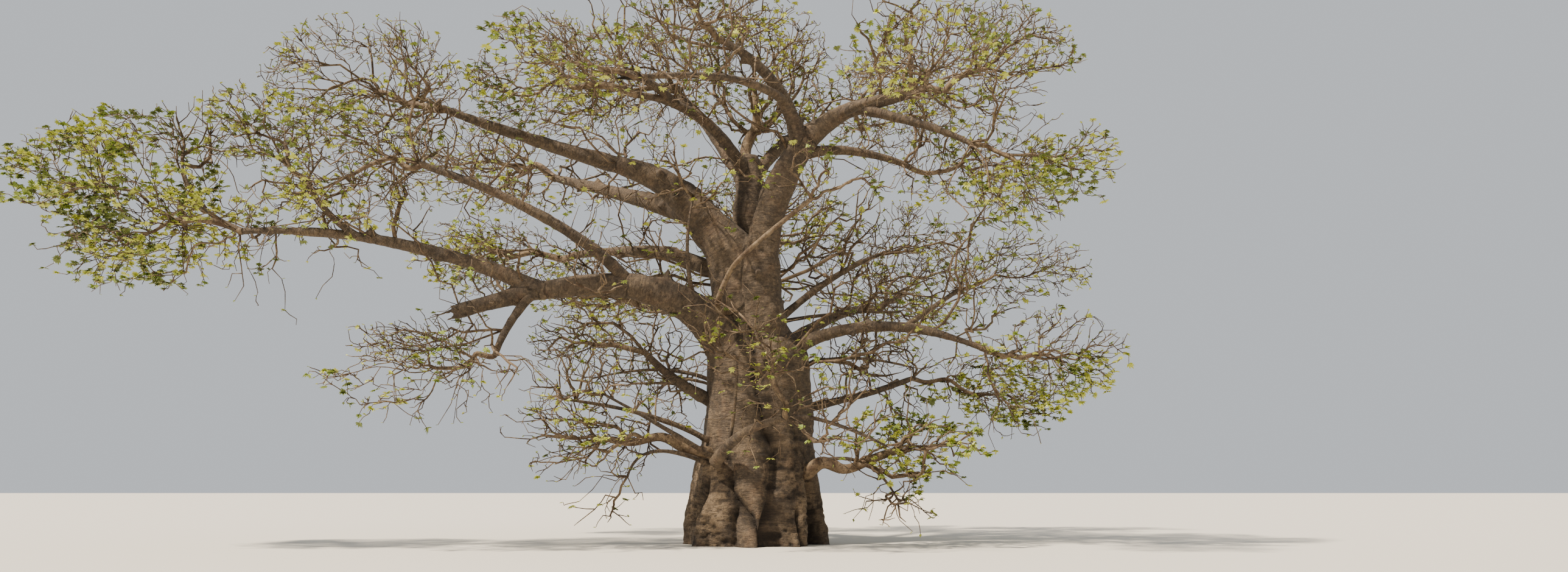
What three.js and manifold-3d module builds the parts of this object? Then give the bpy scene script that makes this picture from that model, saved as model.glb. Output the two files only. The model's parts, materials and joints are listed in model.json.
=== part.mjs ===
// An old baobab at the start of its leafing season. A swollen trunk on a fluted foot stands on
// level ground and divides about eight metres up. Boughs leave it at several heights, the
// longest of them low on the left, and each bough ends in a mass of twigs with a few leaves.
// Millimetres, +Z up, origin at the middle of the flat cut under the trunk, front towards -Y.
// The tables of boughs and masses are in metres.
import * as THREE from 'three';
import { mergeVertices } from 'three/addons/utils/BufferGeometryUtils.js';
import Module from 'manifold-3d';

const wasm = await Module();
wasm.setup();

const METRE = 1000;
const GAP = 0.3; // clearance between a bough and what carries it
const WELD = 1e-3; // corners nearer than this are one
const SLIVER = 0.15; // detail finer than this is smoothed away after a join or a cut

// Trunk
const TRUNK_TOP = 7850;
const NECK = 1360; // half width of the trunk above the flare of its foot
const FLARE = 710; // what the foot adds to the half width at the ground
const FLARE_FADE = 2400; // height over which the foot's flare fades
const FLARE_CURVE = 1.4; // above 1, the flare keeps its width near the ground and then fades faster
const SHOULDER = [4900, 6000]; // heights between which the trunk steps in on its right
const SHOULDER_STEP = 420;
const DEPTH_RATIO = 0.93; // front to back, against side to side
const LEAN_OUT = 130; // the middle's drift to the right below the shoulder
const LEAN_BACK = 330; // and to the left above it
const LEAN_ENDS = [4500, 6800]; // heights by which the two drifts are complete
const FLUTES = 8; // buttress legs round the foot
const FLUTE_DEPTH = 0.2; // depth of the grooves at the ground, as a part of the radius
const FLUTE_FADE = 1500;
const DOME_START = 7000; // height above which the fork rounds over
const DOME_NARROWING = 0.8; // share of the cross-section that the rounding takes off by the top
const TRUNK_SIDES = 32;
const TRUNK_RINGS = 15;
const RING_CROWDING = 1.1; // above 1, the rings lie closer together near the ground

// Boughs
const BOUGH_SIDES = 8;
const THIN_BOUGH_SIDES = 6;
const THIN_BOUGH = 0.45; // girth at the root, in metres, below which a bough counts as thin
const BOUGH_STEP = 1500; // length of one straight stretch
const STRETCHES = [3, 7]; // fewest and most stretches in a bough
const CARRY_ON = 0.4; // share of its way that a bough carried on from a tip keeps its heading
const COLLAR = 0.18; // extra girth where a bough leaves its carrier
const COLLAR_FADE = 2; // root radii over which the collar fades

// Twigs and leaves
const SEED_STEP = 0.618; // sets the masses' seeds apart
const STEM_SHARE = 0.85; // girth of a mass's stem, against the bough that it carries on
const STEM_SHORT = 0.15; // share of the way to the centre that the stem stops short
const TWIG_LEAST = 26; // radius at a twig's tip
const TWIG_ONWARD = 0.22; // how far a twig's bend lies on along its carrier, as a share of its reach
const TWIG_ASIDE = 0.32; // and sideways
const TWIG_RISE = 0.1; // and up
const STEEP = 0.2; // a heading nearer the vertical than this sine counts as upright
const SUNK_ROOT = 0.42; // a twig's root stays inside its carrier: radius against the carrier's
const PIPE_POWER = 0.45; // radius follows the share of tips that it feeds, to this power
const TRIES = 60; // places tried for a mass's twigs
const RIM = 0.96; // how near a main twig's tip comes to the edge of its space
const SHELL = 0.14; // depth of the outer shell that the main tips fall in
const TURN_COST = 0.8; // dislike of a twig that doubles back
const PATH_COST = 0.35; // dislike of a long way back to the stem
const SPACE_MARGIN = 0.04; // kept clear on each side of the border between two masses
const LIMB_MARGIN = 60; // kept clear between a twig and a bough
const GROUND_MARGIN = 300;
const SAMPLE_STEP = 120; // spacing of the places tested along a twig and a bough
const LEAF_LENGTH = 750; // each blade stands for a spray of leaves
const LEAF_WIDTH = 380;
const LEAF_THICKNESS = 34;
const LEAF_BELLY = 0.5; // where along its length a blade is widest
const LEAF_LIFT = 0.1; // how far a blade turns up from its twig

const ratios = [0.8191725134, 0.6710436067, 0.5497004779]; // even spread over a unit cube
const up = new THREE.Vector3(0, 0, 1);
const poles = [[1, 0, 0], [-1, 0, 0], [0, 0, 1], [0, 1, 0], [0, -1, 0]];

// A bough grows from a place inside the trunk, or from a share of the way along its carrier,
// through a middle place to its tip. Girths are its diameters at the root and at the tip.
const boughs = {
  left_main: { from: 'trunk', start: [-0.35, -0.05, 6.5], via: [-1.45, -0.45, 8.95],
    tip: [-3.8, -0.8, 10.25], girth: [1.55, 0.5] },
  left_top: { from: 'left_main', start: 1, via: [-5.9, -1.65, 10.6],
    tip: [-8.2, -2.5, 11.3], girth: [0.48, 0.22] },
  left_back: { from: 'left_main', start: 0.45, via: [-3.2, 1.2, 9.75],
    tip: [-6.5, 3.5, 11.1], girth: [0.62, 0.26] },
  left_inner: { from: 'trunk', start: [-0.5, 0.2, 7.0], via: [-2.6, 1.2, 8.15],
    tip: [-5.6, 2.6, 8.4], girth: [0.52, 0.24] },
  low_left_rise: { from: 'trunk', start: [-0.5, -0.35, 4.9], via: [-1.65, -0.85, 6.25],
    tip: [-3.4, -1.4, 6.75], girth: [1.2, 0.68] },
  low_left_over: { from: 'low_left_rise', start: 1, via: [-5.2, -1.85, 6.62],
    tip: [-7.45, -2.3, 5.95], girth: [0.66, 0.34] },
  left_long: { from: 'low_left_over', start: 0.5, via: [-9.1, -2.6, 7.65],
    tip: [-13.0, -3.0, 7.85], girth: [0.44, 0.19] },
  left_riser: { from: 'left_long', start: 0.62, via: [-10.75, -3.0, 8.35],
    tip: [-11.2, -3.1, 9.0], girth: [0.18, 0.14] },
  left_hanger: { from: 'low_left_over', start: 0.55, via: [-6.15, -2.4, 5.6],
    tip: [-6.4, -2.7, 4.75], girth: [0.27, 0.15] },
  left_mid: { from: 'low_left_rise', start: 0.94, via: [-5.2, -2.6, 8.25],
    tip: [-8.3, -3.6, 9.45], girth: [0.36, 0.16] },
  column_mid: { from: 'trunk', start: [-0.25, 0.3, 6.8], via: [-0.14, 0.5, 9.0],
    tip: [-0.3, 0.7, 10.9], girth: [1.0, 0.72] },
  column_right: { from: 'trunk', start: [0.3, -0.45, 5.6], via: [0.32, -0.85, 8.5],
    tip: [1.4, -1.3, 10.7], girth: [1.15, 0.7] },
  top_left: { from: 'column_mid', start: 0.8, via: [-1.4, -0.5, 11.6],
    tip: [-3.3, -1.6, 12.0], girth: [0.42, 0.22] },
  top_left_back: { from: 'column_mid', start: 0.76, via: [-1.35, 1.55, 12.0],
    tip: [-2.5, 2.5, 13.5], girth: [0.52, 0.26] },
  top_back: { from: 'column_mid', start: 0.8, via: [1.0, 1.8, 11.8],
    tip: [2.4, 3.0, 13.0], girth: [0.46, 0.22] },
  right_top: { from: 'column_right', start: 1, via: [2.9, -1.65, 11.4],
    tip: [4.4, -1.9, 11.9], girth: [0.62, 0.24] },
  top_front: { from: 'column_right', start: 0.96, via: [0.55, -2.15, 12.1],
    tip: [-0.9, -2.75, 13.1], girth: [0.5, 0.2] },
  right_long: { from: 'right_top', start: 0.5, via: [4.5, -2.05, 11.0],
    tip: [5.9, -2.3, 10.3], girth: [0.3, 0.14] },
  right_mid: { from: 'column_right', start: 0.93, via: [2.8, -0.75, 10.65],
    tip: [4.4, -0.2, 10.35], girth: [0.32, 0.16] },
  front_left: { from: 'top_front', start: 0.35, via: [-0.4, -3.6, 11.65],
    tip: [-2.6, -5.1, 11.15], girth: [0.25, 0.13] },
  front_right: { from: 'right_top', start: 0.38, via: [3.05, -3.3, 11.2],
    tip: [3.9, -4.9, 10.9], girth: [0.25, 0.13] },
  right_low: { from: 'trunk', start: [0.9, -0.3, 5.1], via: [3.3, -0.75, 5.75],
    tip: [6.2, -1.0, 5.1], girth: [0.42, 0.19] },
  right_up: { from: 'trunk', start: [0.5, 0.2, 5.9], via: [2.1, 0.95, 7.3],
    tip: [3.6, 1.6, 8.2], girth: [0.25, 0.12] },
  right_riser: { from: 'right_low', start: 0.6, via: [5.0, -0.2, 6.4],
    tip: [5.8, 0.4, 7.0], girth: [0.16, 0.11] },
  right_skirt: { from: 'trunk', start: [1.0, 0.4, 3.55], via: [3.0, 1.05, 4.05],
    tip: [4.6, 1.6, 4.6], girth: [0.26, 0.14] },
  left_stub: { from: 'trunk', start: [-0.9, -0.1, 3.7], via: [-2.1, -0.3, 4.35],
    tip: [-3.0, -0.5, 5.15], girth: [0.38, 0.17] },
  front_cross: { from: 'trunk', start: [-0.95, -1.2, 2.1], via: [-0.15, -2.25, 2.85],
    tip: [1.0, -2.65, 3.2], girth: [0.32, 0.17] },
  back_mid: { from: 'trunk', start: [-0.1, 0.4, 6.0], via: [-0.3, 2.6, 8.2],
    tip: [0.2, 4.6, 9.2], girth: [0.6, 0.28] },
  back_left: { from: 'trunk', start: [-0.5, 0.5, 5.2], via: [-2.0, 2.9, 6.6],
    tip: [-3.9, 5.3, 7.3], girth: [0.55, 0.25] },
  back_right: { from: 'trunk', start: [0.5, 0.4, 5.0], via: [1.9, 2.6, 6.3],
    tip: [3.4, 4.6, 7.1], girth: [0.5, 0.24] },
};

// A mass fills an egg-shaped space round its centre, as far as the next mass. It grows on from
// the tip of its bough, or straight from the trunk at a place given as start.
const masses = {
  far_left: { on: 'left_long', centre: [-15.6, -3.0, 8.6], half: [3.6, 2.6, 2.5], twigs: 15, leaves: 15 },
  left_riser: { on: 'left_riser', centre: [-12.0, -3.2, 10.3], half: [2.1, 2.0, 1.6], twigs: 9, leaves: 6 },
  left_hanger: { on: 'left_hanger', centre: [-8.0, -3.2, 4.3], half: [2.8, 1.9, 1.5], twigs: 11, leaves: 11 },
  left_mid: { on: 'left_mid', centre: [-10.0, -3.9, 9.1], half: [2.3, 2.1, 1.5], twigs: 10, leaves: 10 },
  left_top: { on: 'left_top', centre: [-10.2, -2.3, 11.9], half: [2.9, 2.3, 2.0], twigs: 10, leaves: 8 },
  left_back: { on: 'left_back', centre: [-8.7, 4.6, 11.8], half: [3.1, 2.6, 1.8], twigs: 10, leaves: 8 },
  left_inner: { on: 'left_inner', centre: [-8.0, 3.4, 8.5], half: [3.0, 2.3, 1.4], twigs: 10, leaves: 10 },
  top_left: { on: 'top_left', centre: [-5.4, -1.9, 12.3], half: [2.8, 2.2, 1.9], twigs: 9, leaves: 7 },
  top_left_back: { on: 'top_left_back', centre: [-4.0, 3.6, 14.1], half: [3.1, 2.6, 1.9],
    twigs: 9, leaves: 7 },
  top_mid: { on: 'column_mid', centre: [0.0, 1.0, 13.4], half: [2.5, 2.3, 2.7], girth: 0.36,
    twigs: 10, leaves: 8 },
  top_back: { on: 'top_back', centre: [3.8, 4.2, 13.6], half: [3.0, 2.6, 1.9], twigs: 10, leaves: 8 },
  top_front: { on: 'top_front', centre: [-1.6, -3.2, 13.9], half: [2.7, 2.1, 1.7], twigs: 10, leaves: 8 },
  right_top: { on: 'right_top', centre: [5.9, -2.0, 12.5], half: [3.1, 2.3, 2.0], twigs: 10, leaves: 8 },
  right_long: { on: 'right_long', centre: [7.2, -2.6, 9.6], half: [2.4, 2.1, 1.7], twigs: 11, leaves: 11 },
  right_mid: { on: 'right_mid', centre: [6.2, 0.8, 10.7], half: [2.8, 2.2, 1.3], twigs: 10, leaves: 8 },
  front_left: { on: 'front_left', centre: [-4.0, -5.9, 11.2], half: [2.4, 2.1, 1.4], twigs: 9, leaves: 7 },
  front_right: { on: 'front_right', centre: [4.2, -5.9, 11.0], half: [2.4, 2.1, 1.4], twigs: 10, leaves: 8 },
  right_low: { on: 'right_low', centre: [7.6, -1.1, 4.9], half: [2.5, 2.2, 1.4], twigs: 11, leaves: 11 },
  right_up: { on: 'right_up', centre: [4.6, 2.1, 8.6], half: [2.1, 1.9, 1.4], twigs: 9, leaves: 6 },
  right_riser: { on: 'right_riser', centre: [7.0, 0.7, 7.5], half: [2.7, 2.0, 1.3], twigs: 9, leaves: 7 },
  right_skirt: { on: 'right_skirt', centre: [6.6, 2.0, 4.1], half: [2.7, 2.1, 1.4], twigs: 13, leaves: 13 },
  right_foot: { on: 'trunk', start: [1.5, -0.7, 1.9], centre: [4.1, -1.2, 2.5],
    half: [2.4, 1.8, 1.3], girth: 0.3, twigs: 13, leaves: 13 },
  left_stub: { on: 'left_stub', centre: [-4.5, -0.6, 5.3], half: [1.8, 1.6, 1.0], twigs: 9, leaves: 6 },
  left_foot: { on: 'trunk', start: [-1.2, -0.9, 2.4], centre: [-4.3, -1.8, 2.7],
    half: [2.5, 1.7, 1.3], girth: 0.26, twigs: 11, leaves: 11 },
  front_cross: { on: 'front_cross', centre: [0.5, -3.1, 4.3], half: [1.5, 1.0, 1.4], twigs: 9, leaves: 6 },
  fork_front: { on: 'trunk', start: [-0.55, -0.6, 6.2], centre: [1.9, -2.8, 9.3],
    half: [1.9, 1.2, 1.1], girth: 0.22, twigs: 10, leaves: 10 },
  back_mid: { on: 'back_mid', centre: [0.2, 6.4, 9.9], half: [3.2, 2.8, 2.2], twigs: 11, leaves: 11 },
  back_left: { on: 'back_left', centre: [-5.0, 6.9, 7.9], half: [2.9, 2.5, 1.9], twigs: 11, leaves: 11 },
  back_right: { on: 'back_right', centre: [4.9, 6.3, 7.9], half: [2.9, 2.5, 1.9], twigs: 11, leaves: 11 },
};

const bark = new THREE.MeshStandardMaterial({ color: '#8a7660', roughness: 0.92, metalness: 0 });
const foliage = new THREE.MeshStandardMaterial({ color: '#9a9a58', roughness: 0.8, metalness: 0 });

const place = ([x, y, z]) => new THREE.Vector3(x, y, z).multiplyScalar(METRE);
const fraction = (value) => value - Math.floor(value);

function smooth(from, to, value) {
  const share = THREE.MathUtils.clamp((value - from) / (to - from), 0, 1);
  return share * share * (3 - 2 * share);
}

// Trunk

function trunkMiddle(z) {
  return LEAN_OUT * smooth(0, LEAN_ENDS[0], z) - LEAN_BACK * smooth(SHOULDER[0], LEAN_ENDS[1], z);
}

// Distance from the trunk's middle to its bark, towards an angle seen from above.
function trunkRadius(angle, z) {
  const flare = FLARE * Math.exp(-((z / FLARE_FADE) ** FLARE_CURVE));
  const width = NECK + flare - SHOULDER_STEP * smooth(...SHOULDER, z);
  const groove = (FLUTE_DEPTH * Math.exp(-z / FLUTE_FADE) * (1 - Math.cos(FLUTES * angle))) / 2;
  const dome = Math.max(0, (z - DOME_START) / (TRUNK_TOP - DOME_START));
  return width * (1 - groove) * Math.sqrt(1 - DOME_NARROWING * dome * dome);
}

function trunkRing(z, clearance) {
  return Array.from({ length: TRUNK_SIDES }, (_, side) => {
    const angle = (2 * Math.PI * side) / TRUNK_SIDES;
    const radius = trunkRadius(angle, z) + clearance;
    return new THREE.Vector3(
      trunkMiddle(z) + radius * Math.cos(angle), DEPTH_RATIO * radius * Math.sin(angle), z);
  });
}

function trunkShape(clearance = 0) {
  const rings = Array.from({ length: TRUNK_RINGS }, (_, ring) =>
    trunkRing(TRUNK_TOP * (ring / (TRUNK_RINGS - 1)) ** RING_CROWDING, clearance));
  rings.at(-1).forEach((corner) => { corner.z += clearance; });
  return loft(rings);
}

// A closed surface through rings of corners, with a fan over each end.
function loft(rings) {
  const sides = rings[0].length;
  const corners = rings.flat();
  const faces = [];
  for (let ring = 0; ring < rings.length - 1; ring++) {
    for (let side = 0; side < sides; side++) {
      const next = (side + 1) % sides;
      const a = ring * sides + side;
      const b = ring * sides + next;
      faces.push(a, b, b + sides, a, b + sides, a + sides);
    }
  }
  const last = (rings.length - 1) * sides;
  for (let side = 1; side < sides - 1; side++) {
    faces.push(0, side + 1, side, last, last + side, last + side + 1);
  }
  return solid(corners, faces);
}

// A solid from corners and triangles that face outwards.
function solid(corners, faces) {
  const geometry = new THREE.BufferGeometry().setFromPoints(corners);
  geometry.setIndex(faces);
  const merged = mergeVertices(geometry, WELD);
  const triangles = [];
  for (let at = 0; at < merged.index.count; at += 3) {
    const triangle = [0, 1, 2].map((corner) => merged.index.getX(at + corner));
    if (new Set(triangle).size === 3) triangles.push(...triangle);
  }
  return new wasm.Manifold(new wasm.Mesh({
    numProp: 3,
    vertProperties: merged.attributes.position.array,
    triVerts: new Uint32Array(triangles),
  }));
}

// The biggest of the bodies that a join or a cut leaves, without slivers.
function biggest(shape) {
  const bodies = shape.decompose();
  return bodies.reduce((best, body) => (body.volume() > best.volume() ? body : best)).simplify(SLIVER);
}

// Boughs

function boughCurve(bough) {
  const tip = place(bough.tip);
  const carrier = boughs[bough.from];
  if (bough.start === 1) {
    const onward = carrier.curve.getTangentAt(1);
    const start = place(carrier.tip).addScaledVector(onward, GAP);
    const bend = start.clone().addScaledVector(onward, start.distanceTo(tip) * CARRY_ON);
    return new THREE.QuadraticBezierCurve3(start, bend, tip);
  }
  const start = carrier ? carrier.curve.getPointAt(bough.start) : place(bough.start);
  const bend = place(bough.via).multiplyScalar(2).addScaledVector(start, -0.5).addScaledVector(tip, -0.5);
  return new THREE.QuadraticBezierCurve3(start, bend, tip);
}

function boughRadius(bough, share) {
  const [root, tip] = bough.girth.map((girth) => (girth * METRE) / 2);
  const collar = 1 + COLLAR * Math.exp((-share * bough.length) / (COLLAR_FADE * root));
  return (root + (tip - root) * share) * (bough.start === 1 ? 1 : collar);
}

function boughShape(bough, clearance = 0) {
  const stretches = THREE.MathUtils.clamp(Math.round(bough.length / BOUGH_STEP), ...STRETCHES);
  const sides = bough.girth[0] < THIN_BOUGH ? THIN_BOUGH_SIDES : BOUGH_SIDES;
  const { normals, binormals } = bough.curve.computeFrenetFrames(stretches, false);
  const rings = [];
  for (let step = 0; step <= stretches; step++) {
    const beyond = step === 0 ? -clearance : step === stretches ? clearance : 0;
    const middle = bough.curve.getPointAt(step / stretches)
      .addScaledVector(bough.curve.getTangentAt(step / stretches), beyond);
    const radius = boughRadius(bough, step / stretches) + clearance;
    rings.push(Array.from({ length: sides }, (_, side) => {
      const angle = (2 * Math.PI * side) / sides;
      return middle.clone()
        .addScaledVector(normals[step], radius * Math.cos(angle))
        .addScaledVector(binormals[step], radius * Math.sin(angle));
    }));
  }
  return loft(rings);
}

function overlapping(a, b) {
  const first = a.boundingBox();
  const second = b.boundingBox();
  return [0, 1, 2].every((axis) => first.min[axis] < second.max[axis] && second.min[axis] < first.max[axis]);
}

// A shape less what it would share with the ones already there, each grown by the gap.
function clearOf(shape, others) {
  const cut = others.filter((other) => overlapping(shape, other))
    .reduce((rest, other) => rest.subtract(other), shape);
  return biggest(cut);
}

// Twigs

// How far a place lies towards the edge of a mass's space: 0 at its centre, 1 at its edge.
function reach(point, mass) {
  const [x, y, z] = point.toArray().map((value, axis) =>
    (value / METRE - mass.centre[axis]) / mass.half[axis]);
  return Math.hypot(x, y, z);
}

function inOwnSpace(point, mass) {
  const own = reach(point, mass);
  return own < 1 && Object.values(masses).every(
    (other) => other === mass || own < reach(point, other) - SPACE_MARGIN);
}

function clearOfLimbs(point, mass) {
  const angle = Math.atan2(point.y / DEPTH_RATIO, point.x - trunkMiddle(point.z));
  const aside = Math.hypot(point.x - trunkMiddle(point.z), point.y / DEPTH_RATIO);
  const trunkNear = point.z < TRUNK_TOP && aside < trunkRadius(angle, point.z) + LIMB_MARGIN;
  if (trunkNear || point.z < GROUND_MARGIN) return false;
  return Object.entries(boughs).every(([name, bough]) => {
    const ahead = name === mass.on
      && point.clone().sub(bough.samples.at(-1).point).dot(bough.curve.getTangentAt(1)) > 0;
    return ahead || bough.samples.every(
      (sample) => sample.point.distanceTo(point) > sample.radius + LIMB_MARGIN);
  });
}

// The place that a mass's twig number n grows to: first the poles of the space, then an even
// spread over its outer shell, with room left for a leaf beyond it.
function twigGoal(mass, number, seed) {
  const [height, turn, depth] = ratios.map((ratio) => fraction(seed + ratio * (number + 1)));
  const level = 1 - 2 * height;
  const flat = Math.sqrt(1 - level * level);
  const outward = number < poles.length ? new THREE.Vector3(...poles[number]) : new THREE.Vector3(
    flat * Math.cos(2 * Math.PI * turn), flat * Math.sin(2 * Math.PI * turn), level);
  outward.multiply(place(mass.half)).multiplyScalar(RIM * (1 - SHELL * depth));
  return outward.setLength(outward.length() - LEAF_LENGTH).add(place(mass.centre));
}

// A twig leaves along its carrier, runs out level and rises late.
function twigCurve(from, goal) {
  const way = goal.clone().sub(from.point);
  const bend = from.point.clone().addScaledVector(from.onward, way.length() * TWIG_ONWARD)
    .add(way.clone().multiply(new THREE.Vector3(TWIG_ASIDE, TWIG_ASIDE, TWIG_RISE)));
  return new THREE.QuadraticBezierCurve3(from.point, bend, goal);
}

// The bud that a new twig would rather leave from: near, in line and close to the stem.
function bestBud(buds, goal) {
  const cost = (bud) => {
    const way = goal.clone().sub(bud.point);
    const turn = 1 - way.clone().normalize().dot(bud.onward);
    return way.length() * (1 + (TURN_COST * turn) / 2) + PATH_COST * bud.path;
  };
  return buds.reduce((best, bud) => (cost(bud) < cost(best) ? bud : best));
}

// A new twig adds a bud at its middle and one at its tip.
function addTwig(buds, from, curve) {
  const half = curve.getLength() / 2;
  const middle = { point: curve.getPoint(0.5), onward: curve.getTangent(0.5), from };
  const end = { point: curve.getPoint(1), onward: curve.getTangent(1), from: middle };
  middle.path = from.path + half;
  end.path = middle.path + half;
  buds.push(middle, end);
  return { curve, buds: [from, middle, end] };
}

function stemStart(mass) {
  const bough = boughs[mass.on];
  if (bough) {
    const onward = bough.curve.getTangentAt(1);
    return { point: place(bough.tip).addScaledVector(onward, GAP), onward, path: 0 };
  }
  const point = place(mass.start);
  const onward = new THREE.Vector3(point.x - trunkMiddle(point.z), point.y, 0).normalize();
  return { point, onward, path: 0 };
}

function growTwigs(mass, seed) {
  const buds = [stemStart(mass)];
  const toCentre = place(mass.centre).lerp(buds[0].point, STEM_SHORT);
  const twigs = [addTwig(buds, buds[0], twigCurve(buds[0], toCentre))];
  const budsOnStem = buds.splice(0, 1);
  for (let number = 0; number < TRIES && twigs.length <= mass.twigs; number++) {
    const goal = twigGoal(mass, number, seed);
    const from = bestBud(buds, goal);
    const curve = twigCurve(from, goal);
    const samples = curve.getSpacedPoints(Math.ceil(curve.getLength() / SAMPLE_STEP)).slice(1);
    if (samples.every((point) => inOwnSpace(point, mass) && clearOfLimbs(point, mass))) {
      twigs.push(addTwig(buds, from, curve));
    }
  }
  return { twigs, buds: [...budsOnStem, ...buds] };
}

// Each bud feeds the twig tips beyond it, and its radius follows their number.
function setRadii(buds, stemRadius) {
  buds.forEach((bud) => { bud.tips = 0; });
  const inner = new Set(buds.map((bud) => bud.from));
  for (const tip of buds.filter((bud) => !inner.has(bud))) {
    for (let bud = tip; bud; bud = bud.from) bud.tips += 1;
  }
  const all = buds[0].tips;
  buds.forEach((bud) => {
    bud.radius = Math.max(TWIG_LEAST, stemRadius * (bud.tips / all) ** PIPE_POWER);
  });
}

// A ring of three corners, one above and two below and aside, across a twig or a blade.
function triangle(middle, across, normal, width, thickness) {
  return [[0, 2 / 3], [0.5, -1 / 3], [-0.5, -1 / 3]].map(([aside, above]) => middle.clone()
    .addScaledVector(across, aside * width).addScaledVector(normal, above * thickness));
}

// Directions across and above a heading, as level as it allows.
function frame(onward, level) {
  const across = level.clone().addScaledVector(onward, -level.dot(onward)).normalize();
  return [across, across.clone().cross(onward)];
}

// The widest and the last place of the blade that goes on from a twig's tip.
function bladeLine(bud) {
  const along = bud.onward.clone().addScaledVector(up, LEAF_LIFT).normalize();
  return [LEAF_BELLY, 1].map((share) => bud.point.clone().addScaledVector(along, LEAF_LENGTH * share));
}

function levelAcross(onward) {
  const level = onward.clone().cross(up);
  return level.length() > STEEP ? level.normalize() : new THREE.Vector3(0, 1, 0);
}

// A three-sided twig, which broadens into a thin blade and a point where it carries a leaf.
function twigShape({ curve, buds, leafy }, isStem) {
  const level = levelAcross(buds[2].onward);
  const rings = buds.map((bud, index) => {
    const isRoot = index === 0 && !isStem;
    const radius = isRoot ? Math.min(bud.radius * SUNK_ROOT, buds[1].radius) : bud.radius;
    const middle = bud.point.clone().addScaledVector(bud.onward, isRoot ? -bud.radius : 0);
    const heading = index ? curve.getTangent(index / 2) : bud.onward;
    return triangle(middle, ...frame(heading, level), radius * Math.sqrt(3), radius * 1.5);
  });
  if (leafy) {
    const [belly, tip] = bladeLine(buds[2]);
    const directions = frame(tip.clone().sub(belly).normalize(), level);
    rings.push(triangle(belly, ...directions, LEAF_WIDTH, LEAF_THICKNESS), [tip, tip, tip]);
  }
  return loft(rings);
}

function bladeCorners(bud) {
  const [belly, tip] = bladeLine(bud);
  const directions = frame(bud.onward, levelAcross(bud.onward));
  return [...triangle(belly, ...directions, LEAF_WIDTH, LEAF_THICKNESS), tip];
}

// Leaves go on from the tips of a mass's first twigs.
function growLeaves(mass, twigs) {
  let left = mass.leaves;
  twigs.forEach((twig) => {
    const last = twig.buds[2];
    twig.leafy = left > 0 && last.tips === 1 && bladeCorners(last).every(
      (corner) => inOwnSpace(corner, mass) && clearOfLimbs(corner, mass));
    if (twig.leafy) left -= 1;
  });
}

function massShape(mass, seed) {
  const girth = mass.girth ?? boughs[mass.on].girth[1];
  const { twigs, buds } = growTwigs(mass, seed);
  setRadii(buds, (STEM_SHARE * girth * METRE) / 2);
  growLeaves(mass, twigs);
  return biggest(wasm.Manifold.union(twigs.map((twig, index) => twigShape(twig, index === 0))));
}

function subpart(name, shape, material) {
  const { vertProperties, triVerts } = shape.getMesh();
  const geometry = new THREE.BufferGeometry();
  geometry.setAttribute('position', new THREE.BufferAttribute(vertProperties, 3));
  geometry.setIndex(new THREE.BufferAttribute(triVerts, 1));
  const mesh = new THREE.Mesh(geometry, material);
  mesh.name = name;
  return mesh;
}

const tree = new THREE.Group();
tree.add(subpart('trunk', trunkShape(), bark));
const keepClear = [trunkShape(GAP)];

for (const [name, bough] of Object.entries(boughs)) {
  bough.curve = boughCurve(bough);
  bough.length = bough.curve.getLength();
  const steps = Math.ceil(bough.length / SAMPLE_STEP);
  bough.samples = Array.from({ length: steps + 1 }, (_, step) => ({
    point: bough.curve.getPointAt(step / steps),
    radius: boughRadius(bough, step / steps),
  }));
  const carriedOnFrom = bough.start === 1 ? boughs[bough.from].grown : null;
  const others = keepClear.filter((shape) => shape !== carriedOnFrom);
  tree.add(subpart(`bough_${name}`, clearOf(boughShape(bough), others), bark));
  bough.grown = boughShape(bough, GAP);
  keepClear.push(bough.grown);
}

Object.entries(masses).forEach(([name, mass], index) => {
  const shape = massShape(mass, fraction(SEED_STEP * (index + 1)));
  const own = mass.on === 'trunk' ? clearOf(shape, keepClear) : shape;
  tree.add(subpart(`mass_${name}`, own, foliage));
});

export default tree;
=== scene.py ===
"""Looks of an old baobab at the start of its leafing season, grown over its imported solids.

Metres, +Z up, origin on the ground under the trunk, front towards -Y. One bark skin covers the
trunk and the thick limbs, tubes make the thin limbs, twigs grow on from both by the rule that
shaped the solids, and young leaves stand on the twigs' tips.
"""
from __future__ import annotations

import json
import logging
import math
from dataclasses import dataclass, field
from enum import Enum, IntEnum

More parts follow.
